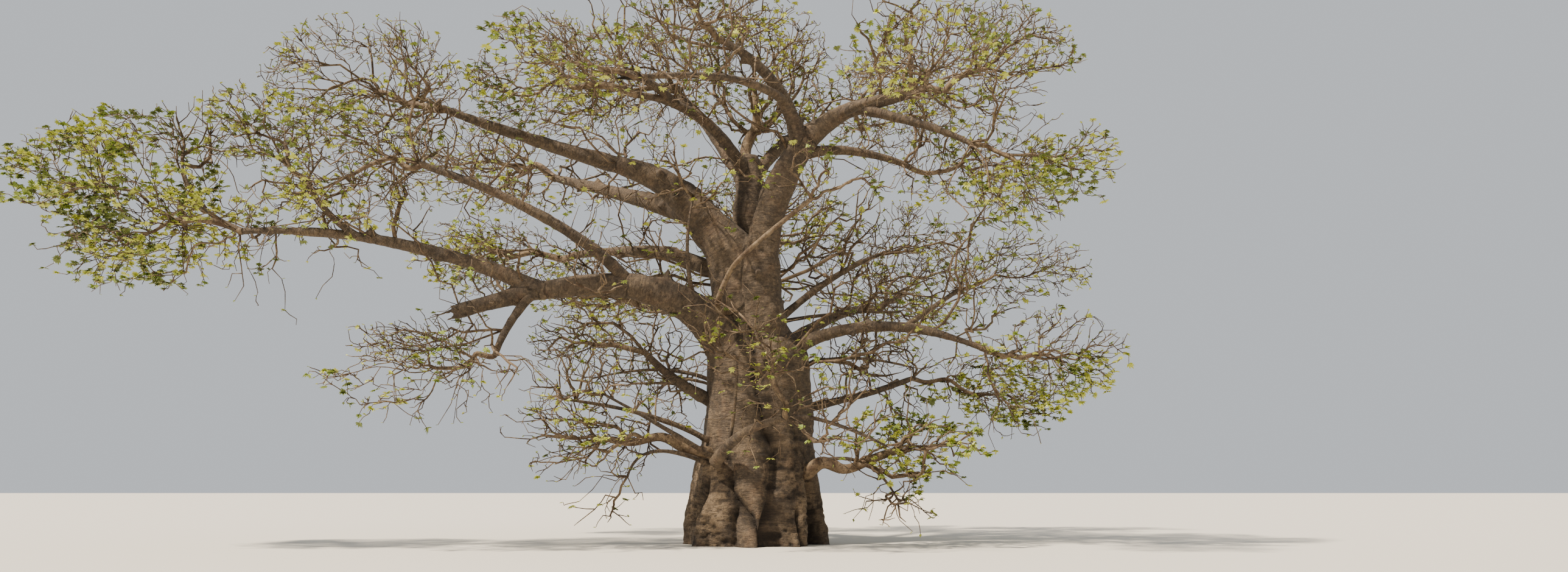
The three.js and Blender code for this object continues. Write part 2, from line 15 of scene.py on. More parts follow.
import bmesh
import bpy
import numpy as np
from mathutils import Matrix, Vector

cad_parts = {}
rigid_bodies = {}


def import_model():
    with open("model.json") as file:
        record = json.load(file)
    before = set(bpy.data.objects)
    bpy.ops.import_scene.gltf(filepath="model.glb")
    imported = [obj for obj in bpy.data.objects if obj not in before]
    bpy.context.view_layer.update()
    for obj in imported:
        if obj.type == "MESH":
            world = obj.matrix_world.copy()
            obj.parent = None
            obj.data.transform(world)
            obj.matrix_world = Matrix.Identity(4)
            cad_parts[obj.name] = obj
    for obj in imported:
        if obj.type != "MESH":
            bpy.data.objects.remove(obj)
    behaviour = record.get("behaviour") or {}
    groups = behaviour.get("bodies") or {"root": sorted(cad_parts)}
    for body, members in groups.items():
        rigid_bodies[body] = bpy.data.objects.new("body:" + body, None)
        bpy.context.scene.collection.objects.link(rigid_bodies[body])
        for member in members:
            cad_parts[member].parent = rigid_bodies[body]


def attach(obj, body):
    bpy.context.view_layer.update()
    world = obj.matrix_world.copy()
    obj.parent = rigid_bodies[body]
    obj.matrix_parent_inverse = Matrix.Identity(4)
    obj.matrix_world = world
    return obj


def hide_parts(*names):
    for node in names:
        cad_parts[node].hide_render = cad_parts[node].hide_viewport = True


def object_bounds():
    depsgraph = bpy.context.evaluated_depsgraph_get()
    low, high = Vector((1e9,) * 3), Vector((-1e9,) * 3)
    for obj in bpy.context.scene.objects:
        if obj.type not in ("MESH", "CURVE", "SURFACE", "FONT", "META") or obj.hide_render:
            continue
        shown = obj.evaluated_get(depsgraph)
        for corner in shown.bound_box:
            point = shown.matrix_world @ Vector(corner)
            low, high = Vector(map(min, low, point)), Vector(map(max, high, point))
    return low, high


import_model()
CAD_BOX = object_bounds()
log = logging.getLogger("baobab")

Triple = tuple[float, float, float]
# Corners, n by 3, and arrays of corner numbers, each for faces with one number of corners.
Surface = tuple[np.ndarray, list[np.ndarray]]
# A pattern, the values of it where a colour begins and is full, its share there and the colour.
Layer = tuple[bpy.types.NodeSocket, float, float, bpy.types.NodeSocket | float, str]
# A pattern, the strength of its bump and its height in metres.
Bump = tuple[bpy.types.NodeSocket, bpy.types.NodeSocket | float, float]

UP = np.array([0.0, 0.0, 1.0])
TRUNK_NODE = "trunk"
BODY = "root"
BARK_SLOT = "bark"
LEAF_SLOT = "foliage"

# The least length that a vector is divided by, and the least way that twigs' paths are.
TINY = 1e-9
LEAST_PATH = 1e-6

# The noise hashes a cell's place with large primes and keeps the low 32, then 16 bits.
HASH_FACTORS = np.array([374761393, 668265263, 1442695041])
SEED_FACTOR = 974634777
MIX_FACTOR = 1274126177
LOW_WORD = 0xFFFFFFFF
LOW_HALF = 0xFFFF

# Roots of limbs head for the trunk's axis, which leans this far in X, and dip by this share.
TRUNK_LEAN = 0.1
ROOT_DIP = 0.3

# Lines steeper than this part of a unit take another side. Points are so many radii long.
UPRIGHT = 0.95
POINT_LENGTH = 2.0

# Corners below the first height are on the ground, and others stay above the second.
ON_GROUND = 1e-4
OFF_GROUND = 0.002

# How far apart in a noise each limb's own frame lies, so that no two limbs look the same.
LIMB_APART = 20.0

# Limbs with more than this radius at their root are bare for longer.
THICK_RADIUS = 0.2

# A path that no twig is worth, for the root bud of a mass once its stem has left it.
OUT_OF_REACH = 1e6

# Where the crown's zones meet: in Y, in X and in height.
BACK_FROM = 4.0
LEFT_UNTIL = -6.5
TOP_FROM = 11.0


@dataclass(frozen=True)
class LimbPlan:
    """One limb, from a place in the trunk or a share of its carrier, by a middle place to its tip.

    Its girth is its thickness at the root and at the tip.
    """

    carrier: str
    start: Triple | float
    via: Triple
    tip: Triple
    girth: tuple[float, float]


@dataclass(frozen=True)
class MassPlan:
    """One mass: the limb it grows on from, its egg-shaped space and how leafy it is.

    The space has a centre and half sizes, and so many main twigs. Where a start is given, the
    mass grows from that place in the trunk's side, with a stem of the given girth.
    """

    carrier: str
    centre: Triple
    half: Triple
    twigs: int
    leafy: float
    start: Triple | None = None
    girth: float | None = None


# The stub of a bough that broke off.
TORN_STUB = "torn_stub"

LIMBS = {
    "left_main": LimbPlan(
        "trunk", (-0.35, -0.05, 6.5), (-1.45, -0.45, 8.95), (-3.8, -0.8, 10.25), (1.55, 0.5)),
    "left_top": LimbPlan("left_main", 1, (-5.9, -1.65, 10.6), (-8.2, -2.5, 11.3), (0.48, 0.22)),
    "left_back": LimbPlan("left_main", 0.45, (-3.2, 1.2, 9.75), (-6.5, 3.5, 11.1), (0.62, 0.26)),
    "left_inner": LimbPlan("trunk", (-0.5, 0.2, 7.0), (-2.6, 1.2, 8.15), (-5.6, 2.6, 8.4), (0.52, 0.24)),
    "low_left_rise": LimbPlan(
        "trunk", (-0.5, -0.35, 4.9), (-1.65, -0.85, 6.25), (-3.4, -1.4, 6.75), (1.2, 0.68)),
    "low_left_over": LimbPlan("low_left_rise", 1, (-5.2, -1.85, 6.62), (-7.45, -2.3, 5.95), (0.66, 0.34)),
    "left_long": LimbPlan("low_left_over", 0.5, (-9.1, -2.6, 7.65), (-13.0, -3.0, 7.85), (0.44, 0.19)),
    "left_riser": LimbPlan("left_long", 0.62, (-10.75, -3.0, 8.35), (-11.2, -3.1, 9.0), (0.18, 0.14)),
    "left_hanger": LimbPlan("low_left_over", 0.55, (-6.15, -2.4, 5.6), (-6.4, -2.7, 4.75), (0.27, 0.15)),
    "left_mid": LimbPlan("low_left_rise", 0.94, (-5.2, -2.6, 8.25), (-8.3, -3.6, 9.45), (0.36, 0.16)),
    "column_mid": LimbPlan("trunk", (-0.25, 0.3, 6.8), (-0.14, 0.5, 9.0), (-0.3, 0.7, 10.9), (1.0, 0.72)),
    "column_right": LimbPlan("trunk", (0.3, -0.45, 5.6), (0.32, -0.85, 8.5), (1.4, -1.3, 10.7), (1.15, 0.7)),
    "top_left": LimbPlan("column_mid", 0.8, (-1.4, -0.5, 11.6), (-3.3, -1.6, 12.0), (0.42, 0.22)),
    "top_left_back": LimbPlan("column_mid", 0.76, (-1.35, 1.55, 12.0), (-2.5, 2.5, 13.5), (0.52, 0.26)),
    "top_back": LimbPlan("column_mid", 0.8, (1.0, 1.8, 11.8), (2.4, 3.0, 13.0), (0.46, 0.22)),
    "right_top": LimbPlan("column_right", 1, (2.9, -1.65, 11.4), (4.4, -1.9, 11.9), (0.62, 0.24)),
    "top_front": LimbPlan("column_right", 0.96, (0.55, -2.15, 12.1), (-0.9, -2.75, 13.1), (0.5, 0.2)),
    "right_long": LimbPlan("right_top", 0.5, (4.5, -2.05, 11.0), (5.9, -2.3, 10.3), (0.3, 0.14)),
    "right_mid": LimbPlan("column_right", 0.93, (2.8, -0.75, 10.65), (4.4, -0.2, 10.35), (0.32, 0.16)),
    "front_left": LimbPlan("top_front", 0.35, (-0.4, -3.6, 11.65), (-2.6, -5.1, 11.15), (0.25, 0.13)),
    "front_right": LimbPlan("right_top", 0.38, (3.05, -3.3, 11.2), (3.9, -4.9, 10.9), (0.25, 0.13)),
    "right_low": LimbPlan("trunk", (0.9, -0.3, 5.1), (3.3, -0.75, 5.75), (6.2, -1.0, 5.1), (0.42, 0.19)),
    "right_up": LimbPlan("trunk", (0.5, 0.2, 5.9), (2.1, 0.95, 7.3), (3.6, 1.6, 8.2), (0.25, 0.12)),
    "right_riser": LimbPlan("right_low", 0.6, (5.0, -0.2, 6.4), (5.8, 0.4, 7.0), (0.16, 0.11)),
    "right_skirt": LimbPlan("trunk", (1.0, 0.4, 3.55), (3.0, 1.05, 4.05), (4.6, 1.6, 4.6), (0.26, 0.14)),
    "left_stub": LimbPlan("trunk", (-0.9, -0.1, 3.7), (-2.1, -0.3, 4.35), (-3.0, -0.5, 5.15), (0.38, 0.17)),
    "front_cross": LimbPlan(
        "trunk", (-0.95, -1.2, 2.1), (-0.15, -2.25, 2.85), (1.0, -2.65, 3.2), (0.32, 0.17)),
    "back_mid": LimbPlan("trunk", (-0.1, 0.4, 6.0), (-0.3, 2.6, 8.2), (0.2, 4.6, 9.2), (0.6, 0.28)),
    "back_left": LimbPlan("trunk", (-0.5, 0.5, 5.2), (-2.0, 2.9, 6.6), (-3.9, 5.3, 7.3), (0.55, 0.25)),
    "back_right": LimbPlan("trunk", (0.5, 0.4, 5.0), (1.9, 2.6, 6.3), (3.4, 4.6, 7.1), (0.5, 0.24)),
}

# Boughs too thin or too short for the solids, each laid where the photograph has one.
THIN_BOUGHS = {
    "far_up": LimbPlan("left_long", 0.98, (-13.95, -3.0, 8.55), (-14.5, -3.1, 9.6), (0.15, 0.06)),
    "foot_high": LimbPlan("trunk", (-1.2, -0.7, 2.7), (-2.6, -1.3, 3.3), (-4.8, -2.2, 3.7), (0.17, 0.07)),
    "foot_mid": LimbPlan("trunk", (-1.05, -0.95, 2.25), (-2.0, -1.5, 2.85), (-3.7, -2.5, 3.8), (0.15, 0.06)),
    "foot_low": LimbPlan("trunk", (-1.15, -0.9, 2.1), (-2.5, -1.6, 2.4), (-3.1, -2.1, 1.75), (0.14, 0.06)),
    "foot_hook": LimbPlan("trunk", (1.45, -0.75, 2.05), (2.8, -1.0, 2.15), (3.75, -1.2, 1.2), (0.12, 0.05)),
    "cross_sprig": LimbPlan("front_cross", 0.3, (-0.42, -2.15, 3.5), (-0.36, -2.2, 4.7), (0.11, 0.06)),
    "cross_up": LimbPlan("front_cross", 0.96, (0.5, -2.7, 4.2), (0.1, -2.6, 5.4), (0.17, 0.08)),
    "cross_right": LimbPlan("front_cross", 0.97, (1.9, -2.7, 3.1), (3.4, -2.4, 2.5), (0.12, 0.06)),
    "right_level": LimbPlan("trunk", (0.6, 0.3, 6.0), (2.3, 0.6, 6.3), (4.2, 1.2, 6.45), (0.13, 0.05)),
    "right_thin": LimbPlan("trunk", (0.9, 0.1, 4.6), (2.4, 0.2, 5.0), (4.4, 0.3, 4.75), (0.12, 0.05)),
    "left_thin": LimbPlan("trunk", (-0.9, 0.2, 4.2), (-2.4, 0.5, 4.7), (-4.6, 0.9, 4.5), (0.13, 0.05)),
    "fork_riser": LimbPlan("low_left_rise", 0.42, (-1.75, -1.3, 7.5), (-1.6, -1.4, 9.2), (0.15, 0.06)),
    TORN_STUB: LimbPlan("top_left", 0.72, (-2.9, -1.65, 12.35), (-3.6, -1.9, 12.5), (0.26, 0.2)),
}

# The limbs that end in splinters.
TORN = ("low_left_over", TORN_STUB)

MASSES = {
    "far_left": MassPlan("left_long", (-15.6, -3.0, 8.6), (3.6, 2.6, 2.5), 15, 1),
    "left_riser": MassPlan("left_riser", (-12.0, -3.2, 10.3), (2.1, 2.0, 1.6), 9, 0.3),
    "left_hanger": MassPlan("left_hanger", (-8.0, -3.2, 4.3), (2.8, 1.9, 1.5), 11, 0.12),
    "left_mid": MassPlan("left_mid", (-10.0, -3.9, 9.1), (2.3, 2.1, 1.5), 10, 0.34),
    "left_top": MassPlan("left_top", (-10.2, -2.3, 11.9), (2.9, 2.3, 2.0), 10, 0.2),
    "left_back": MassPlan("left_back", (-8.7, 4.6, 11.8), (3.1, 2.6, 1.8), 10, 0.25),
    "left_inner": MassPlan("left_inner", (-8.0, 3.4, 8.5), (3.0, 2.3, 1.4), 10, 0.32),
    "top_left": MassPlan("top_left", (-5.4, -1.9, 12.3), (2.8, 2.2, 1.9), 9, 0.3),
    "top_left_back": MassPlan("top_left_back", (-4.0, 3.6, 14.1), (3.1, 2.6, 1.9), 9, 0.28),
    "top_mid": MassPlan("column_mid", (0.0, 1.0, 13.4), (2.5, 2.3, 2.7), 10, 0.45, girth=0.36),
    "top_back": MassPlan("top_back", (3.8, 4.2, 13.6), (3.0, 2.6, 1.9), 10, 0.35),
    "top_front": MassPlan("top_front", (-1.6, -3.2, 13.9), (2.7, 2.1, 1.7), 10, 0.6),
    "right_top": MassPlan("right_top", (5.9, -2.0, 12.5), (3.1, 2.3, 2.0), 10, 0.28),
    "right_long": MassPlan("right_long", (7.2, -2.6, 9.6), (2.4, 2.1, 1.7), 11, 0.55),
    "right_mid": MassPlan("right_mid", (6.2, 0.8, 10.7), (2.8, 2.2, 1.3), 10, 0.36),
    "front_left": MassPlan("front_left", (-4.0, -5.9, 11.2), (2.4, 2.1, 1.4), 9, 0.42),
    "front_right": MassPlan("front_right", (4.2, -5.9, 11.0), (2.4, 2.1, 1.4), 10, 0.42),
    "right_low": MassPlan("right_low", (7.6, -1.1, 4.9), (2.5, 2.2, 1.4), 11, 0.9),
    "right_up": MassPlan("right_up", (4.6, 2.1, 8.6), (2.1, 1.9, 1.4), 9, 0.14),
    "right_riser": MassPlan("right_riser", (7.0, 0.7, 7.5), (2.7, 2.0, 1.3), 9, 0.14),
    "right_skirt": MassPlan("right_skirt", (6.6, 2.0, 4.1), (2.7, 2.1, 1.4), 13, 1.1),
    "right_foot": MassPlan("trunk", (4.1, -1.2, 2.5), (2.4, 1.8, 1.3), 13, 2, (1.5, -0.7, 1.9), 0.3),
    "left_stub": MassPlan("left_stub", (-4.5, -0.6, 5.3), (1.8, 1.6, 1.0), 9, 0.08),
    "left_foot": MassPlan("trunk", (-4.3, -1.8, 2.7), (2.5, 1.7, 1.3), 11, 0.14, (-1.2, -0.9, 2.4), 0.26),
    "front_cross": MassPlan("front_cross", (0.5, -3.1, 4.3), (1.5, 1.0, 1.4), 9, 0.4),
    "fork_front": MassPlan("trunk", (1.9, -2.8, 9.3), (1.9, 1.2, 1.1), 10, 0.6, (-0.55, -0.6, 6.2), 0.15),
    "back_mid": MassPlan("back_mid", (0.2, 6.4, 9.9), (3.2, 2.8, 2.2), 11, 0.36),
    "back_left": MassPlan("back_left", (-5.0, 6.9, 7.9), (2.9, 2.5, 1.9), 11, 0.36),
    "back_right": MassPlan("back_right", (4.9, 6.3, 7.9), (2.9, 2.5, 1.9), 11, 0.36),
}


class Pattern(IntEnum):
    """Which pattern of noise each use takes."""

    FLUTES = 3
    WRINKLES = 5
    WRINKLE_PATCHES = 6
    PITTED = 7
    PITS = 8
    KNOBS = 9
    LUMPS = 10
    THIN_LUMPS = 31
    SPRAYS = 33
    FOLD_WANDER = 50
    FOLD_UNEVEN = 70
    LEAFY = 91
    TINTS = 92


class Draw(IntEnum):
    """Where the seeds of each kind of random draw start."""

    KNOBS = 40
    SPLINTERS = 71
    MASSES = 100
    LIMBS = 600
    LEAVES = 900


def unit(vectors: np.ndarray) -> np.ndarray:
    """Each vector divided by its length."""
    return vectors / np.maximum(np.linalg.norm(vectors, axis=-1, keepdims=True), TINY)


def smooth_step(low: float, high: float, values: np.ndarray) -> np.ndarray:
    """0 below low, 1 above high and 3t^2 - 2t^3 of the share t between them."""
    share = np.clip((values - low) / (high - low), 0.0, 1.0)
    return share * share * (3.0 - 2.0 * share)


def value_noise(points: np.ndarray, size: float, seed: int) -> np.ndarray:
    """Smooth noise from -1 to 1 with features of a given size.

    Each corner of a cubic lattice has a value hashed from its whole-number place. A point gets
    the sum of its cell's eight corner values, each weighted by a product over the axes of
    w = 3t^2 - 2t^3 or 1 - w, t being the point's place in the cell.

    Args:
        points: places, n by 3.
        size: edge of a lattice cell, in the points' unit.
        seed: picks another pattern.

    Returns:
        One value for each point.
    """
    scaled = points / size
    cell = np.floor(scaled).astype(np.int64)
    share = smooth_step(0.0, 1.0, scaled - cell)
    total = np.zeros(len(points))
    for corner in np.ndindex(2, 2, 2):
        code = ((cell + np.array(corner)) @ HASH_FACTORS + seed * SEED_FACTOR) & LOW_WORD
        code = ((code ^ (code >> 13)) * MIX_FACTOR) & LOW_WORD
        value = ((code ^ (code >> 16)) & LOW_HALF) / (LOW_HALF / 2) - 1.0
        total += value * np.prod(np.where(corner, share, 1.0 - share), axis=1)
    return total


def stretched(points: np.ndarray, squeeze: float) -> np.ndarray:
    """Places with their third axis drawn out, which squeezes a noise read there along it."""
    return points * np.array([1.0, 1.0, squeeze])


def bend_line(start: np.ndarray, bend: np.ndarray, tip: np.ndarray, shares: np.ndarray) -> np.ndarray:
    """Quadratic Bezier: (1-s)^2 start + 2s(1-s) bend + s^2 tip, at each share s."""
    s = shares[:, None]
    return (1 - s) ** 2 * start + 2 * s * (1 - s) * bend + s**2 * tip


def along_line(places: np.ndarray | float, along: np.ndarray, values: np.ndarray) -> np.ndarray:
    """Vectors at places along a line, between those known at its samples."""
    return np.stack([np.interp(places, along, values[:, axis]) for axis in range(3)], axis=-1)


def towards_axis(point: np.ndarray) -> np.ndarray:
    """Heading from a place in the trunk's side towards its axis, and a little down."""
    return -unit(np.array([point[0] - TRUNK_LEAN, point[1], ROOT_DIP * math.hypot(point[0], point[1])]))


def new_object(name: str, data: bpy.types.ID) -> bpy.types.Object:
    """A new object in the scene."""
    thing = bpy.data.objects.new(name, data)
    bpy.context.scene.collection.objects.link(thing)
    return thing


def make_piece(name: str, points: np.ndarray, faces: list[np.ndarray],
               material: bpy.types.Material, soft: bool = True) -> bpy.types.Object:
    """Puts whole arrays into a mesh object that rides with the tree.

    Args:
        name: the piece's name.
        points: its corners, n by 3.
        faces: arrays of corner numbers, each with one number of corners a face.
        material: the finish.
        soft: whether its shading is smooth.

    Returns:
        The new object.
    """
    mesh = bpy.data.meshes.new(name)
    mesh.from_pydata(points, [], [face for group in faces for face in group.tolist()])
    mesh.materials.append(material)
    mesh.polygons.foreach_set("use_smooth", np.full(len(mesh.polygons), soft))
    mesh.update()
    piece = new_object(name, mesh)
    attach(piece, BODY)
    return piece


def give_attribute(mesh: bpy.types.Mesh, name: str, values: np.ndarray) -> None:
    """Stores something for each corner of a mesh.

    Args:
        mesh: the mesh.
        name: what the materials call it.
        values: one number or one vector for each corner.
    """
    kind, key = ("FLOAT", "value") if values.ndim == 1 else ("FLOAT_VECTOR", "vector")
    layer = mesh.attributes.new(name, kind, "POINT")
    layer.data.foreach_set(key, values.astype(np.float32).ravel())


def read_rows(items: bpy.types.bpy_prop_collection, key: str, width: int, kind: type) -> np.ndarray:
    """Reads a mesh's corners, edges or faces into one array.

    Args:
        items: the corners, edges or faces.
        key: what is read of each.
        width: how many numbers that is.
        kind: the numbers' type.

    Returns:
        One row for each item.
    """
    values = np.zeros(len(items) * width, dtype=kind)
    items.foreach_get(key, values)
    return values.reshape(-1, width)


def triangle_count(mesh: bpy.types.Mesh) -> int:
    """How many triangles a mesh's faces cut into."""
    return int((read_rows(mesh.polygons, "loop_total", 1, np.int32) - 2).sum())


def closed_rings(corners: np.ndarray) -> Surface:
    """Faces over rings of corners, with one flat face over each end.

    Args:
        corners: rings by sides by 3.

    Returns:
        The corners and the faces.
    """
    rings, sides, _ = corners.shape
    row, here = np.meshgrid(np.arange(rings - 1) * sides, np.arange(sides), indexing="ij")
    a, b = row + here, row + (here + 1) % sides
    quads = np.stack([a, b, b + sides, a + sides], axis=-1).reshape(-1, 4)
    ends = np.stack([np.arange(sides)[::-1], (rings - 1) * sides + np.arange(sides)])
    return corners.reshape(-1, 3), [quads, ends]


def tubes(lines: np.ndarray, radii: np.ndarray, sides: int) -> Surface:
    """Closed tapering tubes along many lines at once.

    Corner k of a ring lies at line + radius (cos(a) side + sin(a) lift), a = 2 pi k / sides,
    where side is level and across the line and lift is the line's heading crossed with side.
    A flat face closes the root and a point closes the tip.

    Args:
        lines: m lines of r places each, m by r by 3.
        radii: m by r.
        sides: corners in a ring.

    Returns:
        The corners and the faces.
    """
    count, rings, _ = lines.shape
    heading = unit(np.gradient(lines, axis=1))
    mean = unit(lines[:, -1] - lines[:, 0])
    level = np.where(np.abs(mean[:, 2:]) > UPRIGHT, np.array([1.0, 0.0, 0.0]), UP)
    across = unit(np.cross(mean, level))[:, None, :]
    side = unit(across - (across * heading).sum(-1, keepdims=True) * heading)
    lift = np.cross(heading, side)
    angle = 2 * np.pi * np.arange(sides) / sides
    ring = side[:, :, None] * np.cos(angle)[:, None] + lift[:, :, None] * np.sin(angle)[:, None]
    corners = lines[:, :, None] + radii[:, :, None, None] * ring
    ends = lines[:, -1] + heading[:, -1] * radii[:, -1:] * POINT_LENGTH
    points = np.concatenate([corners.reshape(-1, 3), ends])
    first = (np.arange(count) * rings * sides)[:, None, None]
    row = (np.arange(rings - 1) * sides)[None, :, None]
    here, after = np.arange(sides), (np.arange(sides) + 1) % sides
    a, b = first + row + here, first + row + after
    quads = np.stack([a, b, b + sides, a + sides], axis=-1).reshape(-1, 4)
    last = first[:, 0] + (rings - 1) * sides
    tip = np.broadcast_to(count * rings * sides + np.arange(count)[:, None], (count, sides))
    caps = np.stack([last + here, last + after, tip], axis=-1).reshape(-1, 3)
    roots = (first[:, 0] + here[::-1]).reshape(-1, sides)
    return points, [quads, caps, roots]


class Gatherer:
    """Collects groups of corners and faces into one mesh."""

    def __init__(self) -> None:
        """Starts with nothing."""
        self.points: list[np.ndarray] = []
        self.faces: list[np.ndarray] = []
        self.total = 0

    def add(self, points: np.ndarray, faces: list[np.ndarray]) -> None:
        """Adds one group, its corner numbers moved on past those already there.

        Args:
            points: the group's corners.
            faces: its faces.
        """
        self.points.append(points)
        self.faces.extend(group + self.total for group in faces if len(group))
        self.total += len(points)

    def piece(self, name: str, slot: str, material: bpy.types.Material,
              soft: bool = True) -> bpy.types.Object:
        """Makes the mesh object of all groups."""
        return make_piece(name, np.concatenate(self.points), self.faces, material, soft)


@dataclass(frozen=True)
class Trunk:
    """The swollen trunk: a fluted, flaring foot, a step in on the right and a rounded fork."""

    top: float = 7.85
    neck: float = 1.36
    flare: float = 0.71
    flare_fade: float = 2.4
    flare_curve: float = 1.4
    shoulder: tuple[float, float] = (4.9, 6.0)
    shoulder_step: float = 0.42
    depth_ratio: float = 0.93
    lean_out: float = 0.13
    lean_back: float = 0.33
    lean_ends: tuple[float, float] = (4.5, 6.8)
    flutes: int = 8
    flute_depth: float = 0.2
    flute_fade: float = 1.5
    flute_sway: float = 0.22
    sway_size: float = 0.6
    sway_squeeze: float = 0.5
    dome_start: float = 7.0
    dome_narrowing: float = 0.8
    sunk: float = 0.3
    around: int = 160
    rings: int = 150

    def middle(self, z: np.ndarray) -> np.ndarray:
        """X of the trunk's middle at a height: out to the right, then back to the left."""
        out = self.lean_out * smooth_step(0, self.lean_ends[0], z)
        return out - self.lean_back * smooth_step(self.shoulder[0], self.lean_ends[1], z)

    def radius(self, angle: np.ndarray, z: np.ndarray) -> np.ndarray:
        """Distance from the middle to the bark.

        neck + flare exp(-(z / fade)^curve), less the shoulder's step, times the grooves
        1 - depth exp(-z / fade) (1 - cos(flutes angle)) / 2 and the fork's rounding.

        Args:
            angle: seen from above, from +X towards +Y.
            z: height above the ground.

        Returns:
            The radius, before the depth ratio is taken.
        """
        above = np.maximum(z, 0.0)
        width = self.neck + self.flare * np.exp(-((above / self.flare_fade) ** self.flare_curve))
        width = width - self.shoulder_step * smooth_step(*self.shoulder, z)
        ring = np.stack([np.cos(angle), np.sin(angle), above * self.sway_squeeze], axis=-1).reshape(-1, 3)
        sway = self.flute_sway * value_noise(ring, self.sway_size, Pattern.FLUTES).reshape(np.shape(angle))
        depth = self.flute_depth * np.exp(-above / self.flute_fade)
        groove = depth * (1 - np.cos(self.flutes * (angle + sway))) / 2
        dome = np.clip((z - self.dome_start) / (self.top - self.dome_start), 0.0, 1.0)
        return width * (1 - groove) * np.sqrt(1 - self.dome_narrowing * dome**2)

    def distance(self, points: np.ndarray) -> np.ndarray:
        """How far places lie outside the bark.

        Args:
            points: the places, n by 3.

        Returns:
            About that distance for each, negative inside.
        """
        x = points[:, 0] - self.middle(points[:, 2])
        y = points[:, 1] / self.depth_ratio
        aside = np.hypot(x, y) - self.radius(np.arctan2(y, x), points[:, 2])
        return np.maximum(aside, points[:, 2] - self.top)

    def surface(self) -> Surface:
        """A closed grid of angles by heights, started a little below the ground to be cut flat.

        Returns:
            The corners and the faces.
        """
        angle, z = np.meshgrid(2 * np.pi * np.arange(self.around) / self.around,
                               np.linspace(-self.sunk, self.top, self.rings))
        radius = self.radius(angle, z)
        return closed_rings(np.stack([self.middle(z) + radius * np.cos(angle),
                                      self.depth_ratio * radius * np.sin(angle), z], axis=-1))


class Limb:
    """One limb, sampled at even distances from its root to its tip.

    The collar is a share of the radius and fades over so many root radii. The sway and the swell
    are shares of the radius too. A limb that leaves the trunk starts deeper in it by SUNK.
    """

    STEP = 0.06
    LEAST_STEPS = 8
    FIRST_SAMPLES = 400
    COLLAR = 0.18
    COLLAR_FADE = 2.0
    CARRY_ON = 0.4
    SWAY = 0.22
    SWAY_SIZE = 1.3
    SWAY_SEEDS = (11, 23)
    SWELL = 0.07
    SWELL_SIZE = 0.8
    NOISE_STEP = 7.0
    SUNK = 0.45

    def __init__(self, name: str, plan: LimbPlan, carrier: Limb | None, seed: int) -> None:
        """Lays the limb's line and its radii.

        The line is a quadratic Bezier through the plan's middle place, with a slow sway that is
        a part of the radius and fades at both ends. The radius falls evenly from root to tip
        under a collar 1 + c exp(-along / (f root)), with a slow swelling.

        Args:
            name: the limb's name in the plan.
            plan: its places and girths.
            carrier: the limb that it leaves, if that isn't the trunk.
            seed: picks its sway and swelling.
        """
        self.name = name
        self.node = "bough_" + name
        self.inward = np.zeros(3) if carrier else self.SUNK * towards_axis(np.array(plan.start))
        tip = np.array(plan.tip)
        self.carried_on = plan.start == 1
        if self.carried_on:
            start = carrier.points[-1]
            bend = start + carrier.heading[-1] * np.linalg.norm(tip - start) * self.CARRY_ON
        else:
            start = carrier.at(plan.start) if carrier else np.array(plan.start)
            bend = 2 * np.array(plan.via) - (start + tip) / 2
        self.lay_line(np.stack([start, bend, tip]), plan, seed)

    def lay_line(self, ends: np.ndarray, plan: LimbPlan, seed: int) -> None:
        """Samples the Bezier at even distances, then adds sway and finds radii and frames.

        Args:
            ends: the curve's start, bend and tip.
            plan: the limb's girths.
            seed: picks its sway and swelling.
        """
        start, bend, tip = ends
        fine = bend_line(start, bend, tip, np.linspace(0, 1, self.FIRST_SAMPLES))
        gone = np.concatenate([[0], np.cumsum(np.linalg.norm(np.diff(fine, axis=0), axis=1))])
        self.length = gone[-1]
        count = max(self.LEAST_STEPS, math.ceil(self.length / self.STEP)) + 1
        self.along = np.linspace(0, self.length, count)
        line = along_line(self.along, gone, fine)
        root, end = plan.girth[0] / 2, plan.girth[1] / 2
        share = self.along / self.length
        collar = 1 + self.COLLAR * np.exp(-self.along / (self.COLLAR_FADE * root))
        key = np.stack([self.along, np.full(count, seed * self.NOISE_STEP), np.zeros(count)], axis=1)
        swell = 1 + self.SWELL * value_noise(key, self.SWELL_SIZE, seed)
        self.radii = (root + (end - root) * share) * (1 if self.carried_on else collar) * swell
        heading = unit(np.gradient(line, axis=0))
        self.side = np.broadcast_to(unit(np.cross(bend - start, tip - start)), line.shape)
        self.lift = np.cross(heading, self.side)
        fade = np.sin(np.pi * share) * self.SWAY * self.radii
        sway = [fade * value_noise(key, self.SWAY_SIZE, seed + offset) for offset in self.SWAY_SEEDS]
        self.points = line + sway[0][:, None] * self.side + sway[1][:, None] * self.lift
        self.heading = unit(np.gradient(self.points, axis=0))

    def at(self, share: float) -> np.ndarray:
        """The place at a share of the limb's length."""
        return along_line(share * self.length, self.along, self.points)

    def grid(self, sides: int, every: int) -> tuple[np.ndarray, np.ndarray, np.ndarray]:
        """Rings of corners round the limb.

        Args:
            sides: corners in a ring.
            every: how many samples on the next ring lies.

        Returns:
            The corners, rings by sides by 3, with each corner's place in the limb's own frame
            (side, lift, along) and its radius.
        """
        rows = np.unique(np.append(np.arange(0, len(self.along), every), len(self.along) - 1))
        angle = 2 * np.pi * np.arange(sides) / sides
        radii = np.repeat(self.radii[rows, None], sides, axis=1)
        side = np.cos(angle)[None, :, None] * self.side[rows, None]
        lift = np.sin(angle)[None, :, None] * self.lift[rows, None]
        middle = self.points[rows].copy()
        middle[0] += self.inward
        corners = middle[:, None] + radii[:, :, None] * (side + lift)
        along = np.repeat(self.along[rows, None], sides, axis=1)
        own = np.stack([radii * np.cos(angle), radii * np.sin(angle), along], axis=-1)
        return corners, own, radii


